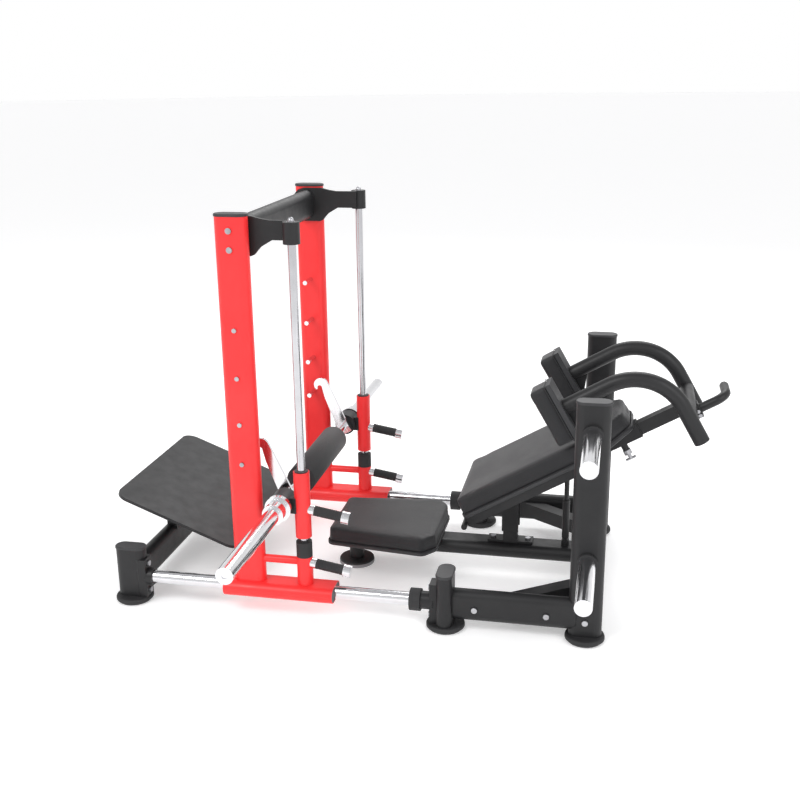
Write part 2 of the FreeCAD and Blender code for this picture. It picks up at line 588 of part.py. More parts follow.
def build_base_bolts():
    outside = OUTER_Y + " - Sizes.bolt_height"
    spots = [("beam_bolt_front", "716", "Sizes.beam_bolt_z"),
             ("beam_bolt_rear", "933", "Sizes.beam_bolt_z"),
             ("rear_foot_bolt", "Sizes.rear_x", "Sizes.foot_bolt_z")]
    paired = [bolt(name, at(x), outside, z, ALONG_Y) for name, x, z in spots]
    front_face = "Sizes.front_post_x + Sizes.oval_long / 2 + Sizes.flange_thick"
    rear_face = "Sizes.mid_post_x - Sizes.oval_short / 2 - Sizes.rear_flange_thick"
    for tag, height in (("low", "Sizes.rail_z - 46"), ("high", "Sizes.rail_z + 46")):
        paired.append(bolt("front_flange_bolt_" + tag, at(front_face), NEAR_Y, height, ALONG_X))
        paired.append(bolt("rear_flange_bolt_" + tag, at(rear_face + " - Sizes.bolt_height"),
                           NEAR_Y, height, ALONG_X))
    top = "Sizes.centre_low + Sizes.oval_short + Sizes.support_plate_thick"
    single = [bolt("support_bolt_front", at("Sizes.pivot_x - 58"), "0", top, ALONG_Z),
              bolt("support_bolt_rear", at("Sizes.pivot_x + 58"), "0", top, ALONG_Z)]
    node(group("base_bolt_set", [both_sides("base_bolt_pairs", paired)] + single), "base_bolts")


# ================================================================ rolling red carriage
def build_carriage():
    top = "Sizes.rail_z + Sizes.oval_short / 2"
    sleeve = oval_tube("rail_sleeve_body", "YZ_Plane", "Sizes.sleeve_length", "Sizes.sleeve_start",
                       NEAR_Y, "Sizes.rail_z", False)
    node(sleeve, "rail_sleeve_near")
    node(mirrored("rail_sleeve_body_far", sleeve), "rail_sleeve_far")

    bushes = []
    starts = (("front", "Sizes.sleeve_start"),
              ("rear", "Sizes.sleeve_start + Sizes.sleeve_length - Sizes.rail_bush_length"))
    for tag, start in starts:
        body = new_body("rail_bush_" + tag, at(start), NEAR_Y, "Sizes.rail_z")
        sketch = new_sketch(body, "YZ_Plane", "rail_bush_outline_" + tag)
        oval_outline(sketch, "bush", LONG + " - 2 * " + WALL, SHORT + " - 2 * " + WALL, False)
        circle_outline(sketch, "bore", "Sizes.rail_radius + Sizes.rail_bush_gap")
        pad(body, sketch, "Sizes.rail_bush_length", "rail_bush_pad_" + tag)
        bushes.append(body)
    node(both_sides("rail_bush_set", bushes), "rail_bushings")

    upright = oval_tube("red_upright_body", "XY_Plane", "Sizes.upright_top - (%s)" % top, "0",
                        NEAR_Y, top, False)
    node(upright, "red_upright_near")
    node(mirrored("red_upright_body_far", upright), "red_upright_far")
    node(both_sides("upright_cap_pair", [cap("upright_cap", "0", NEAR_Y, "Sizes.upright_top",
                                             False)]), "upright_caps")

    post = rod("lower_post", "Sizes.post_radius", "Sizes.post_top - (%s)" % top,
               at("Sizes.rod_x"), NEAR_Y, top)
    tie = rod("tie_tube", "Sizes.tie_radius", "Sizes.rod_x - Sizes.oval_short / 2",
              at("Sizes.oval_short / 2"), NEAR_Y, "Sizes.tie_z", ALONG_X)
    saddle = rod("tie_saddle", HALF_SHORT, "100", at(HALF_SHORT), NEAR_Y, "Sizes.tie_z - 50")
    seat = rod("rod_seat", "Sizes.rod_radius", "Sizes.post_top - Sizes.rod_low + 1",
               at("Sizes.rod_x"), NEAR_Y, "Sizes.rod_low")
    node(both_sides("lower_post_pair", [cut("lower_post_cut", fuse("lower_post_solid", [post, tie]),
                                            [saddle, seat])]), "lower_posts")

    bumper = ring("bumper", "Sizes.post_radius", "Sizes.rod_radius",
                  "Sizes.bumper_top - Sizes.post_top", at("Sizes.rod_x"), NEAR_Y,
                  "Sizes.post_top", ALONG_Z)
    node(both_sides("bumper_pair", [bumper]), "post_bumpers")

    guide = rod("guide_rod", "Sizes.rod_radius", "Sizes.rod_top - Sizes.rod_low",
                at("Sizes.rod_x"), NEAR_Y, "Sizes.rod_low")
    node(both_sides("guide_rod_pair", [guide]), "guide_rods")


def build_top_bracket():
    """A plate on the inner face of the upright, with an arm and a boss for the guide rod."""
    body = new_body("top_bracket_plate", SHIFT, "-Sizes.track_half + Sizes.oval_short / 2", "0")
    sketch = new_sketch(body, "XZ_Plane", "top_bracket_outline")
    polygon_outline(sketch, "bracket", [
        ("-46", "Sizes.bracket_low + 24"), ("-30", "Sizes.bracket_low + 6"),
        ("-12", "Sizes.bracket_low"), ("46", "Sizes.bracket_low"),
        ("56", "Sizes.bracket_low + 4"), ("66", "Sizes.bracket_low + 16"),
        ("76", "Sizes.bracket_low + 27"), ("112", "Sizes.arm_low"),
        ("Sizes.rod_x", "Sizes.arm_low"), ("Sizes.rod_x", "Sizes.arm_high"),
        ("106", "Sizes.arm_high"), ("80", "Sizes.arm_high + 4"), ("52", "Sizes.bracket_high"),
        ("-14", "Sizes.bracket_high"), ("-32", "Sizes.bracket_high - 6"),
        ("-46", "Sizes.bracket_high - 22")])
    pad(body, sketch, "Sizes.bracket_thick", "top_bracket_pad", back=True)
    boss = rod("rod_boss", "Sizes.post_radius", "Sizes.rod_top - Sizes.boss_low",
               at("Sizes.rod_x"), NEAR_Y, "Sizes.boss_low")
    web = block("boss_web", "20", "Sizes.oval_short / 2 + Sizes.bracket_thick",
                "Sizes.arm_high - Sizes.arm_low", at("Sizes.rod_x - 23"), NEAR_Y, "Sizes.arm_low")
    bore = rod("boss_bore", "Sizes.rod_radius", "200", at("Sizes.rod_x"), NEAR_Y,
               "Sizes.boss_low - 50")
    near = cut("top_bracket_cut", fuse("top_bracket_solid", [body, boss, web]), [bore])
    node(near, "top_bracket_near")
    node(mirrored("top_bracket_copy", near), "top_bracket_far")

    inner = "Sizes.track_half - Sizes.oval_short / 2 - Sizes.bracket_thick"
    node(oval_tube("top_tube", "XZ_Plane", "2 * (%s)" % inner, "0", "0", "Sizes.top_tube_z",
                   True, midplane=True), "top_cross_tube")


RACK = ("Sizes.rack_z_one", "Sizes.rack_z_two", "Sizes.rack_z_three", "Sizes.rack_z_four")


def build_rack_and_bolts():
    pegs = [rod("rack_peg_%d" % i, "Sizes.rack_radius", "Sizes.rack_length", SHIFT, INNER_Y, z,
                ALONG_Y) for i, z in enumerate(RACK)]
    node(both_sides("rack_peg_set", pegs), "rack_pegs")

    small = OUTER_Y + " - Sizes.bolt_low_height"
    heads = [bolt("rack_bolt_%d" % i, SHIFT, small, z, ALONG_Y, "Sizes.bolt_small",
                  "Sizes.bolt_low_height") for i, z in enumerate(RACK)]
    for i, z in enumerate(("Sizes.bolt_big_z_one", "Sizes.bolt_big_z_two")):
        heads.append(bolt("bracket_bolt_%d" % i, SHIFT, OUTER_Y + " - Sizes.bolt_height", z,
                          ALONG_Y))
    nut = rod("guide_nut", "10", "4", at("Sizes.rod_x"), NEAR_Y, "Sizes.rod_top")
    dome = doc.addObject("Part::Sphere", "guide_nut_dome")
    bind(dome, Radius="9")
    dome.Angle1 = 0
    place(dome, at("Sizes.rod_x"), NEAR_Y, "Sizes.rod_top + 4")
    heads.append(fuse("domed_nut", [nut, dome]))
    node(both_sides("carriage_fastener_set", heads), "carriage_fasteners")


def build_grips(tag, z, post_radius, low, length):
    """Two grips that lean down a little towards the seat, on a post or slide tube."""
    lean = Rotation(Vector(0, 1, 0), 90 + size("grip_tilt"))
    x = at("Sizes.rod_x")
    collar = rod(tag + "_collar", "Sizes.grip_radius", "Sizes.grip_collar_end", x, NEAR_Y, z, lean)
    core = rod(tag + "_core", "Sizes.grip_core", "Sizes.grip_rubber_end", x, NEAR_Y, z, lean)
    run = "cos(Sizes.grip_tilt * 1 deg)"
    fall = "sin(Sizes.grip_tilt * 1 deg)"
    far_x = at("Sizes.rod_x + Sizes.grip_rubber_end * " + run)
    far_z = "%s - Sizes.grip_rubber_end * %s" % (z, fall)
    knob = rod(tag + "_knob", "Sizes.grip_cap_radius", "Sizes.grip_end - Sizes.grip_rubber_end",
               far_x, NEAR_Y, far_z, lean)
    post = rod(tag + "_post_clear", post_radius, length, x, NEAR_Y, low)
    metal = cut(tag + "_metal", fuse(tag + "_metal_solid", [collar, core, knob]), [post])
    start_x = at("Sizes.rod_x + Sizes.grip_collar_end * " + run)
    start_z = "%s - Sizes.grip_collar_end * %s" % (z, fall)
    span = "Sizes.grip_rubber_end - Sizes.grip_collar_end"
    rubber = ring(tag + "_rubber", "Sizes.grip_radius", "Sizes.grip_core", span, start_x, NEAR_Y,
                  start_z, lean)
    node(both_sides(tag + "_rubber_pair", [rubber]), tag + "s")
    node(both_sides(tag + "_metal_pair", [metal]), tag + "_ends")


# ================================================================ slide and bar
def build_slide():
    slider = ring("slide_tube", "Sizes.slide_radius", "Sizes.slide_bore",
                  "Sizes.slide_top - Sizes.slide_low", at("Sizes.rod_x"), NEAR_Y,
                  "Sizes.slide_low", ALONG_Z)
    node(both_sides("slide_tube_pair", [slider]), "slide_tubes")

    bore = "Sizes.rod_radius + Sizes.slide_bush_gap"
    low = ring("slide_bush_low", "Sizes.slide_bore", bore, "Sizes.slide_bush_length",
               at("Sizes.rod_x"), NEAR_Y, "Sizes.slide_low", ALONG_Z)
    high = ring("slide_bush_high", "Sizes.slide_bore", bore,
                "Sizes.slide_bush_length + Sizes.slide_bush_lip", at("Sizes.rod_x"), NEAR_Y,
                "Sizes.slide_top - Sizes.slide_bush_length", ALONG_Z)
    node(both_sides("slide_bush_set", [low, high]), "slide_bushings")

    length = "Sizes.housing_out - Sizes.housing_in"
    barrel = rod("housing_barrel", "Sizes.housing_radius", length, at("Sizes.bar_x"),
                 "-Sizes.housing_out", "Sizes.bar_z", ALONG_Y)
    bridge = block("housing_bridge", "Sizes.rod_x - Sizes.bar_x", "40", "50", at("Sizes.bar_x"),
                   "-Sizes.track_half - 20", "Sizes.bar_z - 25")
    bore = rod("housing_bore", "Sizes.bar_radius + Sizes.bar_gap", "200", at("Sizes.bar_x"),
               "-Sizes.track_half - 100", "Sizes.bar_z", ALONG_Y)
    clear = rod("housing_slide_clear", "Sizes.slide_radius", "400", at("Sizes.rod_x"), NEAR_Y,
                "200")
    housing = cut("bar_housing", fuse("bar_housing_solid", [barrel, bridge]), [bore, clear])
    node(both_sides("bar_housing_pair", [housing]), "bar_housings")


def build_hook():
    """A J-shaped plate: an arch that drops over a rack peg, a shank and a clamp hub on the bar.

    It is drawn seated on the lowest peg and then swung off it by hook_off about the bar.
    """
    peg = Vector(size("shift_x"), 0, size("rack_z_one"))
    bar = Vector(size("bar_x") + size("shift_x"), 0, size("bar_z"))
    down = (bar - peg).normalize()
    side = Vector(-down.z, 0, down.x)
    inner = size("rack_radius") + size("hook_gap")
    tip = inner + size("hook_tip")
    back = inner + size("hook_band")
    start = Vector(0, -size("hook_in") - size("hook_thick"), 0)
    along_y = Vector(0, size("hook_thick"), 0)

    def prism(points):
        wire = Part.makePolygon([p + start for p in points + points[:1]])
        return Part.Face(wire).extrude(along_y)

    def disc(centre, radius):
        return Part.makeCylinder(radius, size("hook_thick"), centre + start, Vector(0, 1, 0))

    # the arch is thin at its tip and thick where it meets the shank, which widens to the hub
    low_half = size("hook_low_half")
    shank = prism([peg + side * inner, peg + side * back, bar + side * low_half,
                   bar - side * low_half, peg + down * 42 - side * size("hook_root")])
    arch = disc(peg + side * ((back - tip) / 2) - down * size("hook_rise"), (back + tip) / 2)
    gate = prism([peg + side * inner, peg + side * inner + down * 80,
                  peg - side * 60 + down * 80, peg - side * 60])
    plate = arch.cut(gate).fuse(shank).cut(disc(peg, inner))
    half = size("clamp_half")
    low_end = bar + down * (size("clamp_length") / 2)
    high_end = bar - down * (size("clamp_length") / 2)
    clamp = [low_end + side * half, low_end - side * half, high_end - side * half,
             high_end + side * half]
    outer = Vector(0, -size("hub_out"), 0)
    wire = Part.makePolygon([p + outer for p in clamp + clamp[:1]])
    hub = Part.Face(wire).extrude(Vector(0, size("hub_out") - size("hook_in"), 0))
    bore = Part.makeCylinder(size("bar_radius"), 200, Vector(bar.x, -450, bar.z), Vector(0, 1, 0))
    hook = plate.fuse(hub).cut(bore).removeSplitter()
    hook.rotate(bar, Vector(0, 1, 0), size("hook_off"))
    feature = doc.addObject("Part::Feature", "hook_near")
    feature.Shape = hook
    return feature


def build_bar():
    node(rod("bar_rod", "Sizes.bar_radius", "2 * Sizes.bar_half", at("Sizes.bar_x"),
             "-Sizes.bar_half", "Sizes.bar_z", ALONG_Y), "bar_shaft")
    node(both_sides("hook_pair", [build_hook()]), "bar_hooks")

    def barrel(name, radius, start, end):
        return rod(name, radius, "%s - %s" % (end, start), at("Sizes.bar_x"), "-%s" % end,
                   "Sizes.bar_z", ALONG_Y)

    big = barrel("sleeve_flange", "Sizes.ring_big_radius", "Sizes.ring_in", "Sizes.ring_big_end")
    small = barrel("sleeve_step", "Sizes.ring_small_radius", "Sizes.ring_in",
                   "Sizes.ring_small_end")
    tube = barrel("sleeve_barrel", "Sizes.sleeve_radius", "Sizes.ring_in", "Sizes.sleeve_end")
    bore = rod("sleeve_bore", "Sizes.bar_radius + Sizes.bar_gap", "Sizes.bar_half + 1 - 400",
               at("Sizes.bar_x"), "-Sizes.bar_half - 1", "Sizes.bar_z", ALONG_Y)
    screw = rod("sleeve_screw_recess", "9", "3", at("Sizes.bar_x"), "-Sizes.sleeve_end",
                "Sizes.bar_z", ALONG_Y)
    near = cut("bar_sleeve", fuse("bar_sleeve_solid", [big, small, tube]), [bore, screw])
    node(near, "bar_sleeve_near")
    node(mirrored("bar_sleeve_copy", near), "bar_sleeve_far")

    node(ring("roller", "Sizes.roller_radius", "Sizes.bar_radius + Sizes.bar_gap",
              "2 * Sizes.roller_half", at("Sizes.bar_x"), "-Sizes.roller_half", "Sizes.bar_z",
              ALONG_Y), "foam_roller")


# ================================================================ back rest on the incline
SLOPE = Rotation(Vector(0, 1, 0), -size("incline"))


def on_slope(thing, label=None):
    """Turn a thing drawn flat, with u along X and v along Z, onto the incline."""
    thing.Placement = Placement(Vector(0, 0, 0), SLOPE)
    thing.setExpression("Placement.Base.x", SHIFT)
    thing.setExpression("Placement.Base.z", "Sizes.slope_z")
    return node(thing, label) if label else thing


def slope_plate(name, corners, start_y, width, label=None):
    """A plate with an outline in u and v, and its thickness across the machine."""
    body = doc.addObject("PartDesign::Body", name)
    sketch = new_sketch(body, "XZ_Plane", name + "_outline")
    polygon_outline(sketch, "side", corners)
    pad(body, sketch, width, name + "_pad", back=True)
    body.setExpression("Placement.Base.y", start_y)
    return body


def box_uv(name, u0, u1, y0, y1, v0, v1):
    return block(name, "(%s) - (%s)" % (u1, u0), "(%s) - (%s)" % (y1, y0),
                 "(%s) - (%s)" % (v1, v0), u0, y0, v0)


def build_back_frame():
    low_v = "Sizes.spine_top_v - Sizes.spine_size"
    spine = box_uv("spine_outer", "Sizes.spine_low_u", "Sizes.spine_high_u",
                   "-Sizes.spine_size / 2", "Sizes.spine_size / 2", low_v, "Sizes.spine_top_v")
    bore = box_uv("spine_inner", "Sizes.tube_low_u - 145", "Sizes.spine_high_u + 1",
                  "-Sizes.spine_bore / 2", "Sizes.spine_bore / 2",
                  "Sizes.tube_v - Sizes.spine_bore / 2", "Sizes.tube_v + Sizes.spine_bore / 2")
    parts = [spine]
    rail_low = "Sizes.pad_low_v - Sizes.rail_size"
    rail = box_uv("pad_rail", "Sizes.frame_low_u", "Sizes.frame_high_u + Sizes.rail_size",
                  "-Sizes.rail_half_y", "-Sizes.rail_half_y + Sizes.rail_size", rail_low,
                  "Sizes.pad_low_v")
    parts.append(both_sides("pad_rails", [rail]))
    for i, u in enumerate(("Sizes.frame_low_u", "Sizes.frame_mid_u", "Sizes.frame_high_u")):
        parts.append(box_uv("pad_cross_%d" % i, u, u + " + Sizes.rail_size",
                            "-Sizes.rail_half_y", "Sizes.rail_half_y", rail_low,
                            "Sizes.pad_low_v"))
    parts.append(rod("low_rod", "Sizes.low_rod_radius", "2 * Sizes.low_rod_half",
                     "Sizes.low_rod_u", "-Sizes.low_rod_half", "Sizes.low_rod_v", ALONG_Y))
    # pivot ear: the pivot lies straight below the spine, on the incline's own axes
    turn = Rotation(Vector(0, 1, 0), size("incline"))
    pivot = turn.multVec(Vector(size("pivot_x"), 0, size("pivot_z") - size("slope_z")))
    strut = turn.multVec(Vector(size("strut_x"), 0, size("strut_high_z") - size("slope_z")))
    ear_block = box_uv("ear_block", "%f - Sizes.ear_radius" % pivot.x,
                       "%f + Sizes.ear_radius" % pivot.x, "-Sizes.ear_half", "Sizes.ear_half",
                       "%f" % pivot.z, low_v)
    ear_boss = rod("ear_boss", "Sizes.ear_radius", "2 * Sizes.ear_half", "%f" % pivot.x,
                   "-Sizes.ear_half", "%f" % pivot.z, ALONG_Y)
    parts += [ear_block, ear_boss]
    for i, start in enumerate((-20.0, 14.0)):
        parts.append(box_uv("strut_lug_%d" % i, "%f - 13" % strut.x, "%f + 13" % strut.x,
                            "%f" % start, "%f" % (start + 6), "%f" % strut.z, low_v))
        parts.append(rod("strut_lug_round_%d" % i, "13", "6", "%f" % strut.x, "%f" % start,
                         "%f" % strut.z, ALONG_Y))
    parts.append(rod("strut_top_pin", "Sizes.strut_pin", "44", "%f" % strut.x, "-22",
                     "%f" % strut.z, ALONG_Y))
    parts.append(rod("pin_housing", "Sizes.pin_house_radius",
                     "%s - Sizes.pin_house_low_v" % low_v, "Sizes.pin_u", "0",
                     "Sizes.pin_house_low_v"))
    pivot_bore = rod("ear_bore", "Sizes.pivot_radius + 0.05", "100", "%f" % pivot.x, "-50",
                     "%f" % pivot.z, ALONG_Y)
    pin_bore = rod("pin_housing_bore", "Sizes.pin_bore", "60", "Sizes.pin_u", "0",
                   "Sizes.pin_house_low_v - 5")
    frame = cut("back_frame_cut", fuse("back_frame_solid", parts), [bore, pivot_bore, pin_bore])
    on_slope(frame, "back_frame")


def build_back_pad():
    body = doc.addObject("PartDesign::Body", "back_pad_body")
    sketch = new_sketch(body, "XY_Plane", "back_pad_outline")
    polygon_outline(sketch, "pad", [
        ("Sizes.pad_low_u", "-Sizes.pad_half"), ("Sizes.pad_wide_u", "-Sizes.pad_half"),
        ("Sizes.pad_high_u", "-Sizes.pad_end_half"), ("Sizes.pad_high_u", "Sizes.pad_end_half"),
        ("Sizes.pad_wide_u", "Sizes.pad_half"), ("Sizes.pad_low_u", "Sizes.pad_half")])
    slab = pad(body, sketch, "Sizes.pad_high_v - Sizes.pad_low_v", "back_pad_slab")
    upright_axis = Vector(0, 0, 1)
    high_end = size("pad_wide_u") - 1
    low_corners = fillet(body, slab,
                         lambda edge: is_parallel(edge, upright_axis)
                         and edge.BoundBox.XMax < high_end, "Sizes.pad_corner", "pad_low_corners")
    corners = fillet(body, low_corners,
                     lambda edge: is_parallel(edge, upright_axis)
                     and edge.BoundBox.XMin > high_end, "Sizes.pad_high_corner",
                     "pad_high_corners")
    doc.recompute()
    crown = corners.Shape.BoundBox.ZMax
    fillet(body, corners, lambda edge: edge.BoundBox.ZMin > crown - 1e-4, "Sizes.pad_edge",
           "back_pad_edge_round")
    lift = SLOPE.multVec(Vector(0, 0, size("pad_low_v")))
    body.Placement = Placement(lift, SLOPE)
    body.setExpression("Placement.Base.x",
                       "Sizes.shift_x - Sizes.pad_low_v * sin(Sizes.incline * 1 deg)")
    body.setExpression("Placement.Base.z",
                       "Sizes.slope_z + Sizes.pad_low_v * cos(Sizes.incline * 1 deg)")
    node(body, "back_pad")


def build_strut():
    x = at("Sizes.strut_x")
    eye = rod("strut_low_eye", "11", "15", x, "-7.5", "Sizes.strut_low_z", ALONG_Y)
    barrel = rod("strut_barrel", "Sizes.strut_radius",
                 "Sizes.strut_body_top - Sizes.strut_low_z - 14", x, "0",
                 "Sizes.strut_low_z + 14")
    neck = rod("strut_neck", "7", "12", x, "0", "Sizes.strut_low_z + 5")
    low_bore = rod("strut_low_bore", "Sizes.strut_pin + 0.05", "40", x, "-20",
                   "Sizes.strut_low_z", ALONG_Y)
    bore = rod("strut_barrel_bore", "Sizes.strut_bore", "400", x, "0", "Sizes.strut_low_z + 18")
    node(cut("strut_body_cut", fuse("strut_body_solid", [eye, barrel, neck]), [low_bore, bore]),
         "strut_body")

    shaft = rod("strut_shaft", "Sizes.strut_rod", "Sizes.strut_high_z - Sizes.strut_rod_low", x,
                "0", "Sizes.strut_rod_low")
    top_eye = rod("strut_top_eye", "Sizes.strut_eye", "22", x, "-11", "Sizes.strut_high_z",
                  ALONG_Y)
    top_bore = rod("strut_top_bore", "Sizes.strut_eye_bore", "40", x, "-20",
                   "Sizes.strut_high_z", ALONG_Y)
    node(cut("strut_rod_cut", fuse("strut_rod_solid", [shaft, top_eye]), [top_bore]), "strut_rod")


def build_pop_pin():
    stem = rod("pin_stem", "Sizes.pin_radius", "Sizes.pin_tip_v - Sizes.pin_bar_v", "Sizes.pin_u",
               "0", "Sizes.pin_bar_v")
    knob = rod("pin_knob", "Sizes.pin_knob_radius", "Sizes.pin_knob_high_v - Sizes.pin_knob_low_v",
               "Sizes.pin_u", "0", "Sizes.pin_knob_low_v")
    handle = rod("pin_bar", "Sizes.pin_bar_radius", "2 * Sizes.pin_bar_half",
                 "Sizes.pin_u - Sizes.pin_bar_half", "0", "Sizes.pin_bar_v", ALONG_X)
    on_slope(fuse("pop_pin_solid", [stem, knob, handle]), "pop_pin")


# ================================================================ shoulder carriage
def build_handle():
    """Curved handle: a run up the slope, a quarter bend and a leg square to the slope."""
    body = doc.addObject("PartDesign::Body", "handle_body")
    body.setExpression("Placement.Base.x", "Sizes.handle_start_u")
    body.setExpression("Placement.Base.y", "-Sizes.handle_y")
    body.setExpression("Placement.Base.z", "Sizes.handle_v")
    run = size("handle_leg_u") - size("handle_start_u") - size("handle_bend")
    bend = size("handle_bend")
    drop = size("handle_v") - bend - size("handle_end_v")
    path = new_sketch(body, "XZ_Plane", "handle_path")
    path.addGeometry(Part.LineSegment(Vector(0, 0, 0), Vector(run, 0, 0)), False)
    path.addGeometry(Part.ArcOfCircle(Part.Circle(Vector(run, -bend, 0), Vector(0, 0, 1), bend),
                                      0, 1.5707963), False)
    path.addGeometry(Part.LineSegment(Vector(run + bend, -bend, 0),
                                      Vector(run + bend, -bend - drop, 0)), False)
    path.addConstraint(Sketcher.Constraint("Coincident", 0, 1, -1, 1))
    path.addConstraint(Sketcher.Constraint("Horizontal", 0))
    path.addConstraint(Sketcher.Constraint("Vertical", 2))
    path.addConstraint(Sketcher.Constraint("Tangent", 0, 2, 1, 2))
    path.addConstraint(Sketcher.Constraint("Tangent", 1, 1, 2, 1))
    dim(path, Sketcher.Constraint("DistanceX", 0, 1, 0, 2, run), "run",
        "Sizes.handle_leg_u - Sizes.handle_start_u - Sizes.handle_bend")
    dim(path, Sketcher.Constraint("Radius", 1, bend), "bend", "Sizes.handle_bend")
    dim(path, Sketcher.Constraint("DistanceY", 2, 2, 2, 1, drop), "drop",
        "Sizes.handle_v - Sizes.handle_bend - Sizes.handle_end_v")
    ring_sketch = new_sketch(body, "YZ_Plane", "handle_section")
    circle_outline(ring_sketch, "outer", "Sizes.handle_radius")
    circle_outline(ring_sketch, "inner", "Sizes.handle_radius - Sizes.handle_wall")
    pipe = body.newObject("PartDesign::AdditivePipe", "handle_pipe")
    pipe.Profile = ring_sketch
    pipe.Spine = (path, ["Edge1", "Edge2", "Edge3"])
    path.Visibility = False
    ring_sketch.Visibility = False

    web = slope_plate("handle_web", [
        ("Sizes.handle_start_u", "Sizes.gusset_low_v"),
        ("Sizes.gusset_far_u", "Sizes.handle_v - 20"),
        ("Sizes.handle_start_u", "Sizes.handle_v - 20")],
        "-Sizes.handle_y - Sizes.web_thick / 2", "Sizes.web_thick")
    inside = rod("handle_web_clear", "Sizes.handle_radius - Sizes.handle_wall / 2", "200",
                 "Sizes.handle_start_u - 50", "-Sizes.handle_y", "Sizes.handle_v", ALONG_X)
    web_cut = cut("handle_web_cut", web, [inside])
    return fuse("handle_with_web", [body, web_cut])


def build_shoulder_carriage():
    handle = build_handle()
    near = group("handle_near_group", [handle])
    far_plain = mirrored("handle_mirror", handle)
    far = group("handle_far_group", [far_plain])
    on_slope(near, "handle_near")
    on_slope(far, "handle_far")

    half = "Sizes.tube_size / 2"
    outer = box_uv("tube_outer", "Sizes.tube_low_u", "Sizes.handle_leg_u", "-" + half, half,
                   "Sizes.tube_v - " + half, "Sizes.tube_v + " + half)
    hole = "(Sizes.tube_size / 2 - Sizes.tube_wall)"
    inner = box_uv("tube_inner", "Sizes.tube_low_u - 1",
                   "Sizes.handle_leg_u - Sizes.cross_radius", "-" + hole, hole,
                   "Sizes.tube_v - " + hole, "Sizes.tube_v + " + hole)
    cross = rod("cross_bar", "Sizes.cross_radius", "2 * Sizes.handle_y", "Sizes.handle_leg_u",
                "-Sizes.handle_y", "Sizes.tube_v", ALONG_Y)
    leg = rod("leg_clear", "Sizes.handle_radius", "400", "Sizes.handle_leg_u", "-Sizes.handle_y",
              "Sizes.tube_v - 200")
    legs = both_sides("leg_clear_pair", [leg])
    solid = fuse("shoulder_tube_solid", [cut("tube_shell", outer, [inner]), cross])
    on_slope(cut("shoulder_tube_cut", solid, [legs]), "shoulder_tube")

    cushion = box_uv("shoulder_block", "Sizes.shoulder_low_u", "Sizes.shoulder_high_u",
                     "-Sizes.handle_y - Sizes.shoulder_half",
                     "-Sizes.handle_y + Sizes.shoulder_half",
                     "Sizes.shoulder_low_v", "Sizes.shoulder_high_v")
    rounded = doc.addObject("Part::Fillet", "shoulder_block_round")
    rounded.Base = cushion
    doc.recompute()
    radius = size("shoulder_edge")
    rounded.Edges = [(i + 1, radius, radius) for i in range(len(cushion.Shape.Edges))]
    on_slope(both_sides("shoulder_pad_pair", [rounded]), "shoulder_pads")

    inset = "Sizes.board_in"
    board = box_uv("shoulder_board", "Sizes.shoulder_high_u", "Sizes.handle_start_u",
                   "-Sizes.handle_y - Sizes.shoulder_half + " + inset,
                   "-Sizes.handle_y + Sizes.shoulder_half - " + inset,
                   "Sizes.shoulder_low_v + " + inset, "Sizes.shoulder_high_v - " + inset)
    on_slope(both_sides("shoulder_board_pair", [board]), "shoulder_boards")


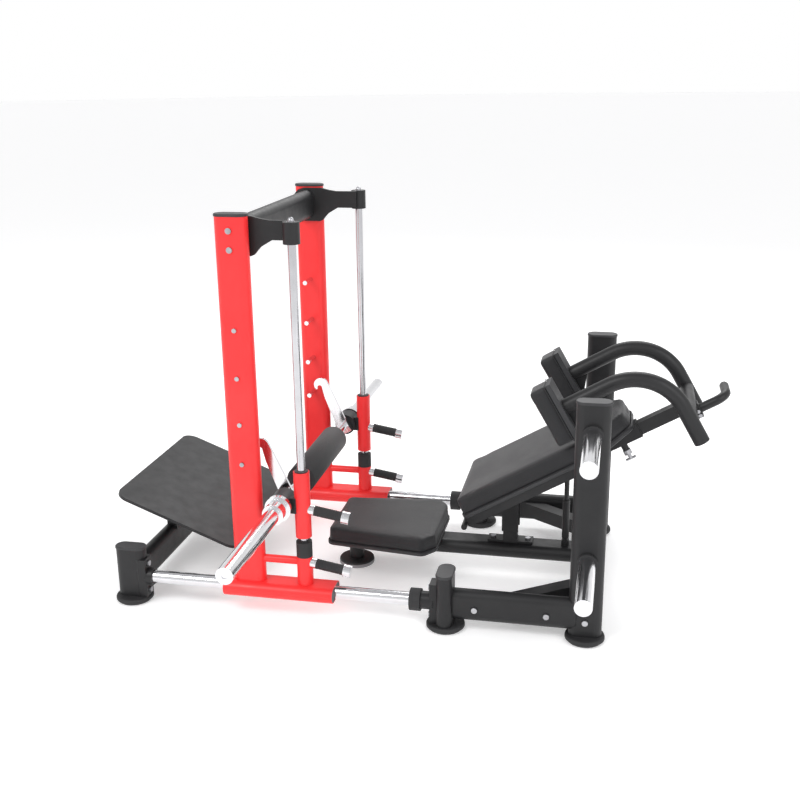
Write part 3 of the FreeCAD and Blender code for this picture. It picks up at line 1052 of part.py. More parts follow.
def build_end_handle():
    """L-shaped pull handle on a small block under the cross bar."""
    body = doc.addObject("PartDesign::Body", "ell_body")
    body.setExpression("Placement.Base.x", "Sizes.ell_start_u")
    body.setExpression("Placement.Base.z", "Sizes.ell_v")
    bend = size("ell_bend")
    run = size("ell_u") - size("ell_start_u") - bend
    rise = size("ell_end_y") - bend
    path = new_sketch(body, "XY_Plane", "ell_path")
    path.addGeometry(Part.LineSegment(Vector(0, 0, 0), Vector(run, 0, 0)), False)
    path.addGeometry(Part.ArcOfCircle(Part.Circle(Vector(run, bend, 0), Vector(0, 0, 1), bend),
                                      -1.5707963, 0), False)
    path.addGeometry(Part.LineSegment(Vector(run + bend, bend, 0),
                                      Vector(run + bend, bend + rise, 0)), False)
    path.addConstraint(Sketcher.Constraint("Coincident", 0, 1, -1, 1))
    path.addConstraint(Sketcher.Constraint("Horizontal", 0))
    path.addConstraint(Sketcher.Constraint("Vertical", 2))
    path.addConstraint(Sketcher.Constraint("Tangent", 0, 2, 1, 1))
    path.addConstraint(Sketcher.Constraint("Tangent", 1, 2, 2, 1))
    dim(path, Sketcher.Constraint("DistanceX", 0, 1, 0, 2, run), "run",
        "Sizes.ell_u - Sizes.ell_start_u - Sizes.ell_bend")
    dim(path, Sketcher.Constraint("Radius", 1, bend), "bend", "Sizes.ell_bend")
    dim(path, Sketcher.Constraint("DistanceY", 2, 1, 2, 2, rise), "rise",
        "Sizes.ell_end_y - Sizes.ell_bend")
    section = new_sketch(body, "YZ_Plane", "ell_section")
    circle_outline(section, "outer", "Sizes.ell_radius")
    pipe = body.newObject("PartDesign::AdditivePipe", "ell_pipe")
    pipe.Profile = section
    pipe.Spine = (path, ["Edge1", "Edge2", "Edge3"])
    path.Visibility = False
    section.Visibility = False

    mount = box_uv("ell_block", "Sizes.block_low_u", "Sizes.ell_start_u", "-Sizes.block_half",
                   "Sizes.block_half", "Sizes.block_low_v", "Sizes.block_high_v")
    clear = rod("ell_cross_clear", "Sizes.cross_radius", "200", "Sizes.handle_leg_u", "-100",
                "Sizes.tube_v", ALONG_Y)
    tube_clear = box_uv("ell_tube_clear", "Sizes.block_low_u - 60", "Sizes.handle_leg_u", "-60",
                        "60", "Sizes.tube_v - Sizes.tube_size / 2",
                        "Sizes.tube_v + Sizes.tube_size / 2")
    mount_cut = cut("ell_mount", mount, [clear, tube_clear])
    on_slope(fuse("ell_handle", [body, mount_cut]), "end_handle")

    heads = []
    for i, v in enumerate(("Sizes.ell_v - 1", "Sizes.ell_v - 16")):
        heads.append(rod("ell_bolt_%d" % i, "6", "5", "Sizes.ell_start_u - 8",
                         "-Sizes.block_half - 5", v, ALONG_Y))
    on_slope(group("ell_bolt_pair", heads), "end_handle_bolts")


build_front_end()
build_rails()
build_rear_end()
build_caps_and_feet()
build_centre()
build_support_post()
build_base_bolts()
build_carriage()
build_top_bracket()
build_rack_and_bolts()
build_grips("lower_grip", "Sizes.grip_lower_z", "Sizes.post_radius", "100", "200")
build_slide()
build_grips("upper_grip", "Sizes.grip_upper_z", "Sizes.slide_radius", "250", "300")
build_bar()
build_back_frame()
build_back_pad()
build_strut()
build_pop_pin()
build_shoulder_carriage()
build_end_handle()

doc.recompute()
faults = []
for thing in doc.Objects:
    if "Invalid" in thing.State or "Error" in thing.State:
        faults.append("%s is %s" % (thing.Name, thing.State))
    shape = getattr(thing, "Shape", None)
    if shape is not None and thing.TypeId != "Sketcher::SketchObject":
        if shape.isNull():
            faults.append("%s has no shape" % thing.Name)
        elif not shape.isValid():
            faults.append("%s is not valid" % thing.Name)
os.makedirs("parts", exist_ok=True)
for thing in NODES:
    solids = thing.Shape.Solids
    if not solids:
        faults.append("%s has no solid" % thing.Label)
        continue
    thing.Shape.exportStep("parts/%s.step" % thing.Label)
    print("%-22s solids %2d  volume %10.0f mm3" % (thing.Label, len(solids), thing.Shape.Volume))
print("%d nodes" % len(NODES))
if faults:
    raise SystemExit("\n".join(faults))
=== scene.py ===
import math

import bmesh
import bpy
from mathutils import Matrix, Vector

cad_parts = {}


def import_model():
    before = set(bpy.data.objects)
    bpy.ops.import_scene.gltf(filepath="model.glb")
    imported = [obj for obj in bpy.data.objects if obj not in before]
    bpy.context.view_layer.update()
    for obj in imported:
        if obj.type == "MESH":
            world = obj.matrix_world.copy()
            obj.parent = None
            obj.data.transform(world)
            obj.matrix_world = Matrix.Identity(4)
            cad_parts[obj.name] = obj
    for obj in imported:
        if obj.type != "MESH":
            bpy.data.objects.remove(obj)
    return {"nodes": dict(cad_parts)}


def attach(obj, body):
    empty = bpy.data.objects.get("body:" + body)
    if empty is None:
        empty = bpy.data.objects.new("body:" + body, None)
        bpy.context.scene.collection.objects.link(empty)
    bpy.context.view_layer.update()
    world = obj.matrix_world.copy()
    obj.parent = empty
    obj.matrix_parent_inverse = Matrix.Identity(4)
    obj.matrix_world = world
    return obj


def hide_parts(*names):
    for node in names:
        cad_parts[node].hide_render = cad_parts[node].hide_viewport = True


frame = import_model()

# Stations are metres from the centre of the red uprights along +X, as in the CAD model.
SHIFT = -0.47988
INCLINE = math.radians(30)
SLOPE_Z = -0.016
BAR_X, BAR_Z = 0.115, 0.375
GRIP_X, GRIP_Y = 0.179, 0.4
GRIP_LEAN = math.radians(9.5)
LOWER_GRIP_Z, UPPER_GRIP_Z = 0.184, 0.363
SEAT_FOOT_X = 0.244

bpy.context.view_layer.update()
NODES = frame["nodes"]


# ------------------------------------------------------------------ node helpers
class Shader:
    """A Principled material built from nodes, with a few short helpers."""

    def __init__(self, name):
        self.material = bpy.data.materials.new(name)
        self.material.use_nodes = True
        self.tree = self.material.node_tree
        self.tree.nodes.clear()
        self.out = self.tree.nodes.new("ShaderNodeOutputMaterial")
        self.bsdf = self.tree.nodes.new("ShaderNodeBsdfPrincipled")
        self.link(self.bsdf.outputs["BSDF"], self.out.inputs["Surface"])
        self.coords = self.tree.nodes.new("ShaderNodeTexCoord").outputs["Object"]

    def link(self, a, b):
        self.tree.links.new(a, b)

    def set(self, **values):
        for key, value in values.items():
            self.bsdf.inputs[key.replace("_", " ")].default_value = value
        return self

    def stretch(self, scale):
        node = self.tree.nodes.new("ShaderNodeMapping")
        node.inputs["Scale"].default_value = scale
        self.link(self.coords, node.inputs["Vector"])
        return node.outputs["Vector"]

    def noise(self, scale, detail=3.0, rough=0.5, vector=None):
        node = self.tree.nodes.new("ShaderNodeTexNoise")
        node.inputs["Scale"].default_value = scale
        node.inputs["Detail"].default_value = detail
        node.inputs["Roughness"].default_value = rough
        self.link(vector or self.coords, node.inputs["Vector"])
        return node.outputs["Fac"]

    def cells(self, scale, feature="F1", vector=None):
        node = self.tree.nodes.new("ShaderNodeTexVoronoi")
        node.feature = feature
        node.inputs["Scale"].default_value = scale
        self.link(vector or self.coords, node.inputs["Vector"])
        return node.outputs["Distance"]

    def span(self, value, low, high, a=0.0, b=1.0):
        node = self.tree.nodes.new("ShaderNodeMapRange")
        self.link(value, node.inputs["Value"])
        for key, number in (("From Min", a), ("From Max", b), ("To Min", low), ("To Max", high)):
            node.inputs[key].default_value = number
        return node.outputs["Result"]

    def maths(self, kind, a, b):
        node = self.tree.nodes.new("ShaderNodeMath")
        node.operation = kind
        for socket, value in zip(node.inputs, (a, b)):
            if isinstance(value, (int, float)):
                socket.default_value = value
            else:
                self.link(value, socket)
        return node.outputs["Value"]

    def mix(self, factor, a, b):
        node = self.tree.nodes.new("ShaderNodeMix")
        node.data_type = "RGBA"
        self.link(factor, node.inputs["Factor"])
        for key, value in (("A", a), ("B", b)):
            socket = [s for s in node.inputs if s.name == key and s.type == "RGBA"][0]
            if isinstance(value, tuple):
                socket.default_value = (*value, 1.0)
            else:
                self.link(value, socket)
        return [s for s in node.outputs if s.type == "RGBA"][0]

    def edges(self, radius=0.0015):
        """About 1 along a piece's edges and 0 on its faces."""
        bevel = self.tree.nodes.new("ShaderNodeBevel")
        bevel.samples = 4
        bevel.inputs["Radius"].default_value = radius
        plain = self.tree.nodes.new("ShaderNodeNewGeometry")
        dot = self.tree.nodes.new("ShaderNodeVectorMath")
        dot.operation = "DOT_PRODUCT"
        self.link(bevel.outputs["Normal"], dot.inputs[0])
        self.link(plain.outputs["Normal"], dot.inputs[1])
        return self.span(dot.outputs["Value"], 1.0, 0.0, 0.75, 0.98)

    def bump(self, height, distance, strength=1.0, radius=0.0):
        node = self.tree.nodes.new("ShaderNodeBump")
        node.inputs["Distance"].default_value = distance
        node.inputs["Strength"].default_value = strength
        self.link(height, node.inputs["Height"])
        if radius:
            bevel = self.tree.nodes.new("ShaderNodeBevel")
            bevel.samples = 4
            bevel.inputs["Radius"].default_value = radius
            self.link(bevel.outputs["Normal"], node.inputs["Normal"])
        self.link(node.outputs["Normal"], self.bsdf.inputs["Normal"])

    def colour(self, socket):
        self.link(socket, self.bsdf.inputs["Base Color"])

    def roughness(self, socket):
        self.link(socket, self.bsdf.inputs["Roughness"])


# ------------------------------------------------------------------ materials
def powder_coat(name, base, dark, worn, rough, wear=0.5):
    """Baked powder paint: fine orange peel, faint dust and rubbed edges."""
    s = Shader(name)
    patch = s.span(s.noise(6.0, 4.0), 0.0, 1.0, 0.35, 0.7)
    paint = s.mix(patch, base, dark)
    rub = s.maths("MULTIPLY", s.edges(), s.span(s.noise(60.0, 5.0, 0.7), 0.0, wear, 0.45, 0.65))
    s.colour(s.mix(rub, paint, worn))
    s.roughness(s.span(s.noise(25.0, 4.0), rough - 0.05, rough + 0.07, 0.3, 0.7))
    s.set(Coat_Weight=0.08, Coat_Roughness=0.3, Specular_IOR_Level=0.35)
    s.bump(s.noise(420.0, 2.0), 0.0003, 0.35, 0.0012)
    return s.material


def chrome(name, tint, rough, streak=(1.0, 1.0, 1.0)):
    """Hard chrome with faint polishing streaks and finger marks."""
    s = Shader(name).set(Metallic=1.0)
    grain = s.noise(180.0, 3.0, 0.6, s.stretch(streak))
    smudge = s.noise(9.0, 5.0, 0.6)
    s.colour(s.mix(s.span(smudge, 0.0, 1.0, 0.4, 0.75), tint, tuple(0.86 * c for c in tint)))
    s.roughness(s.maths("ADD", s.span(smudge, rough, rough + 0.09, 0.35, 0.75),
                        s.span(grain, 0.0, 0.035, 0.3, 0.7)))
    s.bump(grain, 0.00004, 0.3, 0.0008)
    return s.material


def zinc(name):
    s = Shader(name).set(Metallic=1.0)
    patch = s.noise(40.0, 4.0)
    s.colour(s.mix(s.span(patch, 0.0, 1.0, 0.35, 0.65), (0.5, 0.5, 0.52), (0.36, 0.36, 0.38)))
    s.roughness(s.span(patch, 0.28, 0.42, 0.3, 0.7))
    s.bump(s.noise(300.0), 0.0001, 0.4, 0.0008)
    return s.material


def leather(name, base, light):
    """Coated upholstery cloth: pebble grain, pores and soft rubbed patches, with the raised grain
    painted lighter as a painted highlight and its valleys left darker as painted shade.
    """
    s = Shader(name)
    pebble = s.cells(520.0, "SMOOTH_F1")
    fine = s.noise(900.0, 3.0, 0.6)
    patch = s.span(s.noise(7.0, 5.0, 0.55), 0.0, 1.0, 0.35, 0.7)
    grain = s.maths("ADD", s.span(pebble, 1.0, 0.0, 0.0, 0.7), s.span(fine, 0.0, 0.35))
    tone = s.mix(patch, base, light)
    # painted highlight and shade: the colour turns lighter where the grain relief is high, on the
    # raised pebbles, and stays darker in the valleys between them
    s.colour(s.mix(s.span(grain, 0.0, 0.35, 0.2, 1.2), tone, tuple(1.7 * c for c in light)))
    s.roughness(s.span(patch, 0.42, 0.55))
    s.set(Sheen_Weight=0.12, Sheen_Roughness=0.5, Specular_IOR_Level=0.3)
    s.bump(grain, 0.0005, 0.55)
    return s.material


def rubber(name, base, rough=0.72, scale=350.0, depth=0.0003, lift=1.9):
    s = Shader(name)
    dust = s.span(s.noise(14.0, 5.0, 0.6), 0.0, 1.0, 0.4, 0.75)
    s.colour(s.mix(dust, base, tuple(lift * c for c in base)))
    s.roughness(s.span(dust, rough - 0.07, rough + 0.08))
    s.bump(s.noise(scale, 4.0, 0.65), depth, 0.6, 0.0015)
    return s.material


def plastic(name, base, rough=0.45):
    s = Shader(name)
    patch = s.noise(18.0, 4.0)
    s.colour(s.mix(s.span(patch, 0.0, 1.0, 0.35, 0.7), base, tuple(1.5 * c for c in base)))
    s.roughness(s.span(patch, rough - 0.06, rough + 0.08, 0.3, 0.7))
    s.bump(s.cells(900.0), 0.00012, 0.4, 0.0012)
    return s.material


def foam(name, base):
    """Closed-cell foam: open pores on a soft, slightly skinned surface, with painted shade darkening
    the pores.
    """
    s = Shader(name)
    pores = s.cells(700.0)
    patch = s.span(s.noise(12.0, 5.0, 0.6), 0.0, 1.0, 0.35, 0.7)
    skin = s.mix(patch, base, tuple(1.8 * c for c in base))
    # painted shade: the colour darkens towards each pore centre, where the bump sinks the pore into a
    # pit
    s.colour(s.mix(s.span(pores, 0.45, 0.0, 0.0, 0.5), skin, tuple(0.5 * c for c in base)))
    s.roughness(s.span(patch, 0.8, 0.92))
    s.set(Sheen_Weight=0.15)
    s.bump(pores, 0.0006, 0.5)
    return s.material


BLACK = powder_coat("black_powder", (0.014, 0.014, 0.015), (0.010, 0.010, 0.011),
                    (0.075, 0.075, 0.078), 0.46, 0.3)
RED = powder_coat("red_powder", (0.90, 0.035, 0.036), (0.82, 0.026, 0.028), (0.95, 0.12, 0.11),
                  0.36, 0.15)
CHROME = chrome("hard_chrome", (0.80, 0.80, 0.82), 0.09)
CHROME_X = chrome("rail_chrome", (0.74, 0.74, 0.76), 0.08, (0.05, 1.0, 1.0))
CHROME_Z = chrome("rod_chrome", (0.58, 0.58, 0.60), 0.08, (1.0, 1.0, 0.05))
CHROME_Y = chrome("sleeve_chrome", (0.82, 0.82, 0.84), 0.1, (1.0, 0.05, 1.0))
ZINC = zinc("zinc_bolts")
LEATHER = leather("black_upholstery", (0.011, 0.011, 0.012), (0.018, 0.018, 0.020))
RUBBER = rubber("black_rubber", (0.015, 0.015, 0.016))
GREY = rubber("grey_rubber", (0.25, 0.25, 0.26), 0.6, 500.0, 0.0002, 1.25)
PLASTIC = plastic("black_plastic", (0.020, 0.020, 0.022))
FOAM = foam("black_foam", (0.013, 0.013, 0.014))

FINISH = {}
for material, names in (
    (BLACK, "foot_plate front_cross_tube front_posts rail_sockets mid_posts side_beam_near "
            "side_beam_far rear_upright_near rear_upright_far rear_cross_tube diagonal_braces "
            "centre_beam seat_post back_support_post top_bracket_near top_bracket_far "
            "top_cross_tube bar_housings back_frame strut_body shoulder_tube handle_near "
            "handle_far end_handle strut_rod"),
    (RED, "rail_sleeve_near rail_sleeve_far red_upright_near red_upright_far lower_posts "
          "slide_tubes"),
    (CHROME_X, "rail_near rail_far lower_grip_ends upper_grip_ends"),
    (CHROME_Y, "storage_pegs rack_pegs bar_shaft bar_sleeve_near bar_sleeve_far"),
    (CHROME_Z, "guide_rods"),
    (CHROME, "bar_hooks"),
    (ZINC, "base_bolts carriage_fasteners end_handle_bolts pop_pin"),
    (RUBBER, "buffer_rings post_bumpers floor_feet lower_grips upper_grips"),
    (PLASTIC, "post_caps upright_caps rail_bushings slide_bushings shoulder_boards"),
    (LEATHER, "seat_pad back_pad shoulder_pads"),
    (FOAM, "foam_roller"),
):
    for name in names.split():
        FINISH[name] = material

for name, obj in NODES.items():
    obj.data.materials.clear()
    obj.data.materials.append(FINISH[name])


# ------------------------------------------------------------------ mesh helpers
def new_piece(name, bm, material, body, smooth=True):
    """Turn a bmesh in the row frame into a finished piece riding on a body."""
    bmesh.ops.recalc_face_normals(bm, faces=bm.faces)
    mesh = bpy.data.meshes.new(name)
    bm.to_mesh(mesh)
    bm.free()
    obj = bpy.data.objects.new(name, mesh)
    bpy.context.scene.collection.objects.link(obj)
    mesh.materials.append(material)
    if smooth:
        for face in mesh.polygons:
            face.use_smooth = True
    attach(obj, body)
    return obj


def slope_matrix():
    """From (u up the slope, y across, v square to the slope) to the row frame."""
    return Matrix.Translation((SHIFT, 0, SLOPE_Z)) @ Matrix.Rotation(-INCLINE, 4, "Y")


FLAT = Matrix.Translation((SHIFT, 0, 0))
SLOPE = slope_matrix()


def rounded(points, radius, steps=8):
    """A closed outline with its corners rounded by arcs, of one radius or one each."""
    result = []
    count = len(points)
    radii = radius if isinstance(radius, tuple) else (radius,) * count
    for i, here in enumerate(points):
        bend = radii[i]
        before = (points[i - 1] - here).normalized()
        after = (points[(i + 1) % count] - here).normalized()
        half = math.acos(max(-1.0, min(1.0, before.dot(after)))) / 2
        cut = bend / math.tan(half)
        start, end = here + before * cut, here + after * cut
        centre = here + (before + after).normalized() * (bend / math.sin(half))
        a = start - centre
        b = end - centre
        turn = a.angle_signed(b) * -1.0
        for k in range(steps + 1):
            angle = turn * k / steps
            result.append(centre + Matrix.Rotation(angle, 2) @ a)
    return result


def inset(points, distance):
    """Move a closed outline inwards by a distance, along its corner normals."""
    area = sum(points[i - 1].cross(p) for i, p in enumerate(points))
    side = 1.0 if area > 0 else -1.0
    count = len(points)
    moved = []
    for i, here in enumerate(points):
        along = (points[(i + 1) % count] - points[i - 1]).normalized()
        moved.append(here + Vector((-along.y, along.x)) * side * distance)
    return moved


def stack(bm, outline, layers, matrix):
    """A closed form from one outline inset by different amounts at different heights."""
    rings = []
    for height, distance in layers:
        ring = [bm.verts.new(matrix @ Vector((p.x, p.y, height))) for p in inset(outline, distance)]
        rings.append(ring)
    count = len(outline)
    for low, high in zip(rings, rings[1:]):
        for i in range(count):
            j = (i + 1) % count
            bm.faces.new((low[i], low[j], high[j], high[i]))
    bm.faces.new(list(reversed(rings[0])))
    bm.faces.new(rings[-1])


def tube(name, path, radius, material, body, closed=True, around=10):
    """A thin tube along points in the row frame, such as a seam cord."""
    bm = bmesh.new()
    count = len(path)
    rings = []
    lift = Vector((0, 0, 1))
    for i, here in enumerate(path):
        before = path[i - 1] if closed or i else here
        after = path[(i + 1) % count] if closed or i < count - 1 else here
        along = (after - before).normalized()
        side = along.cross(lift)
        if side.length < 1e-4:
            side = along.cross(Vector((0, 1, 0)))
        side.normalize()
        up = side.cross(along)
        ring = []
        for k in range(around):
            angle = 2 * math.pi * k / around
            ring.append(bm.verts.new(here + (side * math.cos(angle) + up * math.sin(angle)) * radius))
        rings.append(ring)
    pairs = list(zip(rings, rings[1:] + rings[:1])) if closed else list(zip(rings, rings[1:]))
    for low, high in pairs:
        for k in range(around):
            m = (k + 1) % around
            bm.faces.new((low[k], low[m], high[m], high[k]))
    if not closed:
        bm.faces.new(list(reversed(rings[0])))
        bm.faces.new(rings[-1])
    return new_piece(name, bm, material, body)


def lathe(name, profile, start, axis, material, body, around=40):
    """A turned form: profile is (distance along axis, radius) from one end to the other."""
    axis = axis.normalized()
    side = axis.orthogonal().normalized()
    up = axis.cross(side)
    bm = bmesh.new()
    rings = []
    for along, radius in profile:
        ring = []
        for k in range(around):
            angle = 2 * math.pi * k / around
            spoke = side * math.cos(angle) + up * math.sin(angle)
            ring.append(bm.verts.new(start + axis * along + spoke * radius))
        rings.append(ring)
    for low, high in zip(rings, rings[1:]):
        for k in range(around):
            m = (k + 1) % around
            bm.faces.new((low[k], low[m], high[m], high[k]))
    bm.faces.new(list(reversed(rings[0])))
    bm.faces.new(rings[-1])
    return new_piece(name, bm, material, body)


# ------------------------------------------------------------------ cushions
VOXEL = 0.005
FRAMES = 20


def inflate(obj, cap, keep_below, matrix):
    """Swell a cushion with the cloth solver; points near its board stay put."""
    mesh = obj.data
    inverse = matrix.inverted()
    start = [v.co.copy() for v in mesh.vertices]
    held = [i for i, co in enumerate(start) if (inverse @ co).z < keep_below]
    group = obj.vertex_groups.new(name="held")
    group.add(held, 1.0, "REPLACE")
    cloth = obj.modifiers.new("swell", "CLOTH")
    setup = cloth.settings
    setup.use_pressure = True
    setup.uniform_pressure_force = 4.0
    setup.vertex_group_mass = "held"
    setup.quality = 4
    setup.mass = 0.3
    setup.tension_stiffness = 25
    setup.compression_stiffness = 25
    setup.bending_stiffness = 2
    setup.effector_weights.gravity = 0.0
    cloth.collision_settings.use_collision = False
    cloth.point_cache.frame_start = 1
    cloth.point_cache.frame_end = FRAMES
    scene = bpy.context.scene
    for number in range(1, FRAMES + 1):
        scene.frame_set(number)
    graph = bpy.context.evaluated_depsgraph_get()
    moved = obj.evaluated_get(graph).to_mesh()
    ends = [v.co.copy() for v in moved.vertices]
    obj.evaluated_get(graph).to_mesh_clear()
    obj.modifiers.remove(cloth)
    scene.frame_set(1)
    for vertex, a, b in zip(mesh.vertices, start, ends):
        step = b - a
        if step.length > cap:
            step = step * (cap / step.length)
        vertex.co = a + step
    mesh.update()


def cushion(name, outline, low, high, matrix, body, cap, shoulder, replaced):
    """A stuffed pad on a board: its sides pull in at the board and its face is crowned."""
    bm = bmesh.new()
    depth = high - low
    layers = [(low, shoulder * 0.45), (low + depth * 0.12, shoulder * 0.12),
              (low + depth * 0.45, 0.0), (high - shoulder * 1.1, shoulder * 0.1),
              (high - shoulder * 0.45, shoulder * 0.5), (high - shoulder * 0.1, shoulder * 1.25),
              (high, shoulder * 2.4)]
    stack(bm, outline, layers, matrix)
    obj = new_piece(name, bm, LEATHER, body)
    remesh = obj.modifiers.new("voxels", "REMESH")
    remesh.mode = "VOXEL"
    remesh.voxel_size = VOXEL
    remesh.use_smooth_shade = True
    apply_modifiers(obj)
    inflate(obj, cap, low + 0.004, matrix)
    smooth = obj.modifiers.new("relax", "SMOOTH")
    smooth.factor = 0.5
    smooth.iterations = 2
    divide = obj.modifiers.new("divide", "SUBSURF")
    divide.levels = 1
    divide.render_levels = 1
    apply_modifiers(obj)
    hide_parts(replaced)
    return obj


def apply_modifiers(obj):
    """Bake an object's modifiers into its mesh."""
    graph = bpy.context.evaluated_depsgraph_get()
    baked = bpy.data.meshes.new_from_object(obj.evaluated_get(graph), depsgraph=graph)
    obj.modifiers.clear()
    old = obj.data
    obj.data = baked
    bpy.data.meshes.remove(old)
    for face in baked.polygons:
        face.use_smooth = True


def board(name, outline, low, high, matrix, body, material, replaced=None):
    """A thin backing board with softened edges."""
    bm = bmesh.new()
    soft = 0.0015
    stack(bm, outline, [(low, soft), (low + soft, 0.0), (high - soft, 0.0), (high, soft)], matrix)
    obj = new_piece(name, bm, material, body, smooth=False)
    if replaced:
        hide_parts(replaced)
    return obj


def seam(name, outline, distance, height, matrix, body, radius=0.0016):
    """A welt cord round a pad, at one inset and height."""
    path = [matrix @ Vector((p.x, p.y, height)) for p in inset(outline, distance)]
    return tube(name, path, radius, LEATHER, body, around=8)


def corners(*pairs):
    return [Vector(pair) for pair in pairs]


# seat
SEAT_LOW, SEAT_HIGH = 0.124, 0.187
seat_line = rounded(corners((0.178, -0.146), (0.512, -0.185), (0.551, -0.135), (0.551, 0.135),
                            (0.512, 0.185), (0.178, 0.146)), 0.026)
board("seat_board", seat_line, SEAT_LOW, SEAT_LOW + 0.010, FLAT, "base", PLASTIC,
      "seat_pad")
cushion("seat_cushion", inset(seat_line, 0.004), SEAT_LOW + 0.009, SEAT_HIGH - 0.004, FLAT,
        "base", 0.002, 0.005, "seat_pad")
seam("seat_welt", seat_line, 0.0015, SEAT_LOW + 0.012, FLAT, "base")

# back rest
BACK_LOW, BACK_HIGH = -0.077, -0.007
back_line = rounded(corners((0.703, -0.195), (1.190, -0.195), (1.300, -0.080), (1.300, 0.080),
                            (1.190, 0.195), (0.703, 0.195)),
                    (0.024, 0.045, 0.055, 0.055, 0.045, 0.024))
board("back_board", back_line, BACK_LOW, BACK_LOW + 0.012, SLOPE, "back", PLASTIC,
      "back_pad")
cushion("back_cushion", inset(back_line, 0.004), BACK_LOW + 0.011, BACK_HIGH - 0.004, SLOPE,
        "back", 0.0025, 0.005, "back_pad")
seam("back_welt", back_line, 0.0015, BACK_LOW + 0.014, SLOPE, "back")

# shoulder pads: drawn in the plane square to the slope, thickness along u
for side, tag in ((-1, "near"), (1, "far")):
    middle = side * 0.188
    outline = rounded(corners((middle - 0.045, 0.010), (middle + 0.045, 0.010),
                              (middle + 0.045, 0.207), (middle - 0.045, 0.207)), 0.012)
    # local axes: first across, second along v, third down the slope
    turned = SLOPE @ Matrix(((0, 0, -1, 1.152), (1, 0, 0, 0), (0, 1, 0, 0), (0, 0, 0, 1)))
    cushion("shoulder_cushion_" + tag, inset(outline, 0.003), 0.0005, 0.055, turned, "shoulder",
            0.0015, 0.004, "shoulder_pads")
    seam("shoulder_welt_" + tag, outline, 0.001, 0.003, turned, "shoulder", 0.0014)


# ------------------------------------------------------------------ foam roller
def foam_profile():
    half, radius, soft = 0.210, 0.047, 0.007
    points = [(-half, 0.0145), (-half, radius - soft)]
    for k in range(1, 7):
        angle = math.pi / 2 * k / 6
        points.append((-half + soft * math.sin(angle), radius - soft * (1 - math.sin(angle))))
    mirrored = [(-x, r) for x, r in reversed(points)]
    return points + mirrored


roller = lathe("foam_roller_skin", foam_profile(), Vector((SHIFT + BAR_X, 0, BAR_Z)),
               Vector((0, 1, 0)), FOAM, "roller", 72)
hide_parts("foam_roller")


# ------------------------------------------------------------------ grips
def grip_profile(start, end, radius):
    """A moulded sleeve with a plain band at each end and grip ribs between."""
    points = [(start, 0.0105), (start, radius - 0.001), (start + 0.001, radius)]
    ribs = 12
    band = 0.008
    pitch = (end - start - 2 * band) / ribs
    for i in range(ribs):
        a = start + band + i * pitch
        points += [(a, radius), (a + pitch * 0.12, radius - 0.0012),
                   (a + pitch * 0.32, radius - 0.0012), (a + pitch * 0.44, radius)]
    points += [(end - 0.001, radius), (end, radius - 0.001), (end, 0.0105)]
    return points


for node, body, height in (("lower_grips", "carriage", LOWER_GRIP_Z),
                           ("upper_grips", "slide", UPPER_GRIP_Z)):
    for side, tag in ((-1, "near"), (1, "far")):
        root = Vector((SHIFT + GRIP_X, side * GRIP_Y, height))
        axis = Vector((math.cos(GRIP_LEAN), 0, -math.sin(GRIP_LEAN)))
        grip = lathe("%s_%s" % (node, tag), grip_profile(0.038, 0.126, 0.016), root, axis, RUBBER,
                     body)
        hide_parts(node)


# ------------------------------------------------------------------ grey ring of the seat foot
lathe("seat_foot_ring", [(0.0, 0.0600), (0.001, 0.0608), (0.011, 0.0608), (0.0125, 0.0596)],
      Vector((SHIFT + SEAT_FOOT_X, 0, 0.0)), Vector((0, 0, 1)), GREY, "base", 72)


# ------------------------------------------------------------------ stage, light, camera
def floor():
    bm = bmesh.new()
    bmesh.ops.create_circle(bm, cap_ends=True, segments=96, radius=60.0)
    mesh = bpy.data.meshes.new("studio_floor")
    bm.to_mesh(mesh)
    bm.free()
    obj = bpy.data.objects.new("studio_floor", mesh)
    bpy.context.scene.collection.objects.link(obj)
    s = Shader("floor_paint").set(Roughness=0.6, Specular_IOR_Level=0.3)
    s.colour(s.mix(s.noise(3.0), (0.90, 0.90, 0.90), (0.92, 0.92, 0.92)))
    s.set(Emission_Color=(1.0, 1.0, 1.0, 1.0), Emission_Strength=0.30)
    mesh.materials.append(s.material)


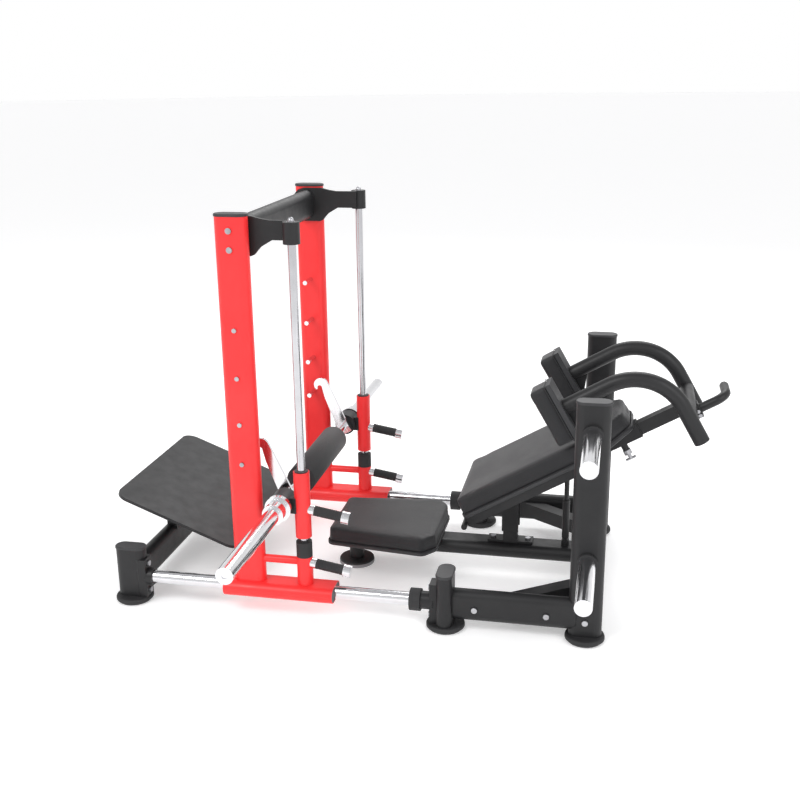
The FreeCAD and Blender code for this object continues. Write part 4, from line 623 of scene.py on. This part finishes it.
def world():
    scene = bpy.context.scene
    scene.world = bpy.data.worlds.new("studio")
    scene.world.use_nodes = True
    tree = scene.world.node_tree
    background = tree.nodes["Background"]
    coords = tree.nodes.new("ShaderNodeTexCoord")
    split = tree.nodes.new("ShaderNodeSeparateXYZ")
    ramp = tree.nodes.new("ShaderNodeValToRGB")
    tree.links.new(coords.outputs["Generated"], split.inputs[0])
    tree.links.new(split.outputs["Z"], ramp.inputs["Fac"])
    ramp.color_ramp.elements[0].position = 0.12
    ramp.color_ramp.elements[0].color = (1.0, 1.0, 1.0, 1.0)
    ramp.color_ramp.elements[1].position = 0.75
    ramp.color_ramp.elements[1].color = (0.62, 0.62, 0.63, 1.0)
    tree.links.new(ramp.outputs["Color"], background.inputs["Color"])
    background.inputs["Strength"].default_value = 1.0


def area_light(name, place, target, size, power):
    data = bpy.data.lights.new(name, "AREA")
    data.shape = "RECTANGLE"
    data.size = size[0]
    data.size_y = size[1]
    data.energy = power
    obj = bpy.data.objects.new(name, data)
    bpy.context.scene.collection.objects.link(obj)
    obj.location = place
    obj.rotation_euler = (Vector(target) - Vector(place)).to_track_quat("-Z", "Y").to_euler()


def camera():
    data = bpy.data.cameras.new("camera")
    data.sensor_width = 36.0
    data.lens = 48.5
    data.clip_end = 200.0
    obj = bpy.data.objects.new("camera", data)
    bpy.context.scene.collection.objects.link(obj)
    yaw, pitch, roll = math.radians(11.95), math.radians(17.315), math.radians(-0.719)
    turn = (Matrix.Rotation(yaw, 3, "Z") @ Matrix.Rotation(math.pi / 2 - pitch, 3, "X")
            @ Matrix.Rotation(roll, 3, "Z"))
    obj.matrix_world = Matrix.Translation((SHIFT + 1.1107, -3.3375, 1.6628)) @ turn.to_4x4()
    bpy.context.scene.camera = obj


floor()
world()
area_light("key", (-2.5, -3.5, 4.5), (0, 0, 0.5), (3.0, 2.0), 130)
area_light("fill", (3.5, -2.5, 3.0), (0, 0, 0.5), (2.5, 2.5), 60)
area_light("back", (0.5, 3.5, 4.0), (0, 0, 0.5), (3.0, 1.5), 90)
camera()
bpy.context.scene.view_settings.view_transform = "Standard"
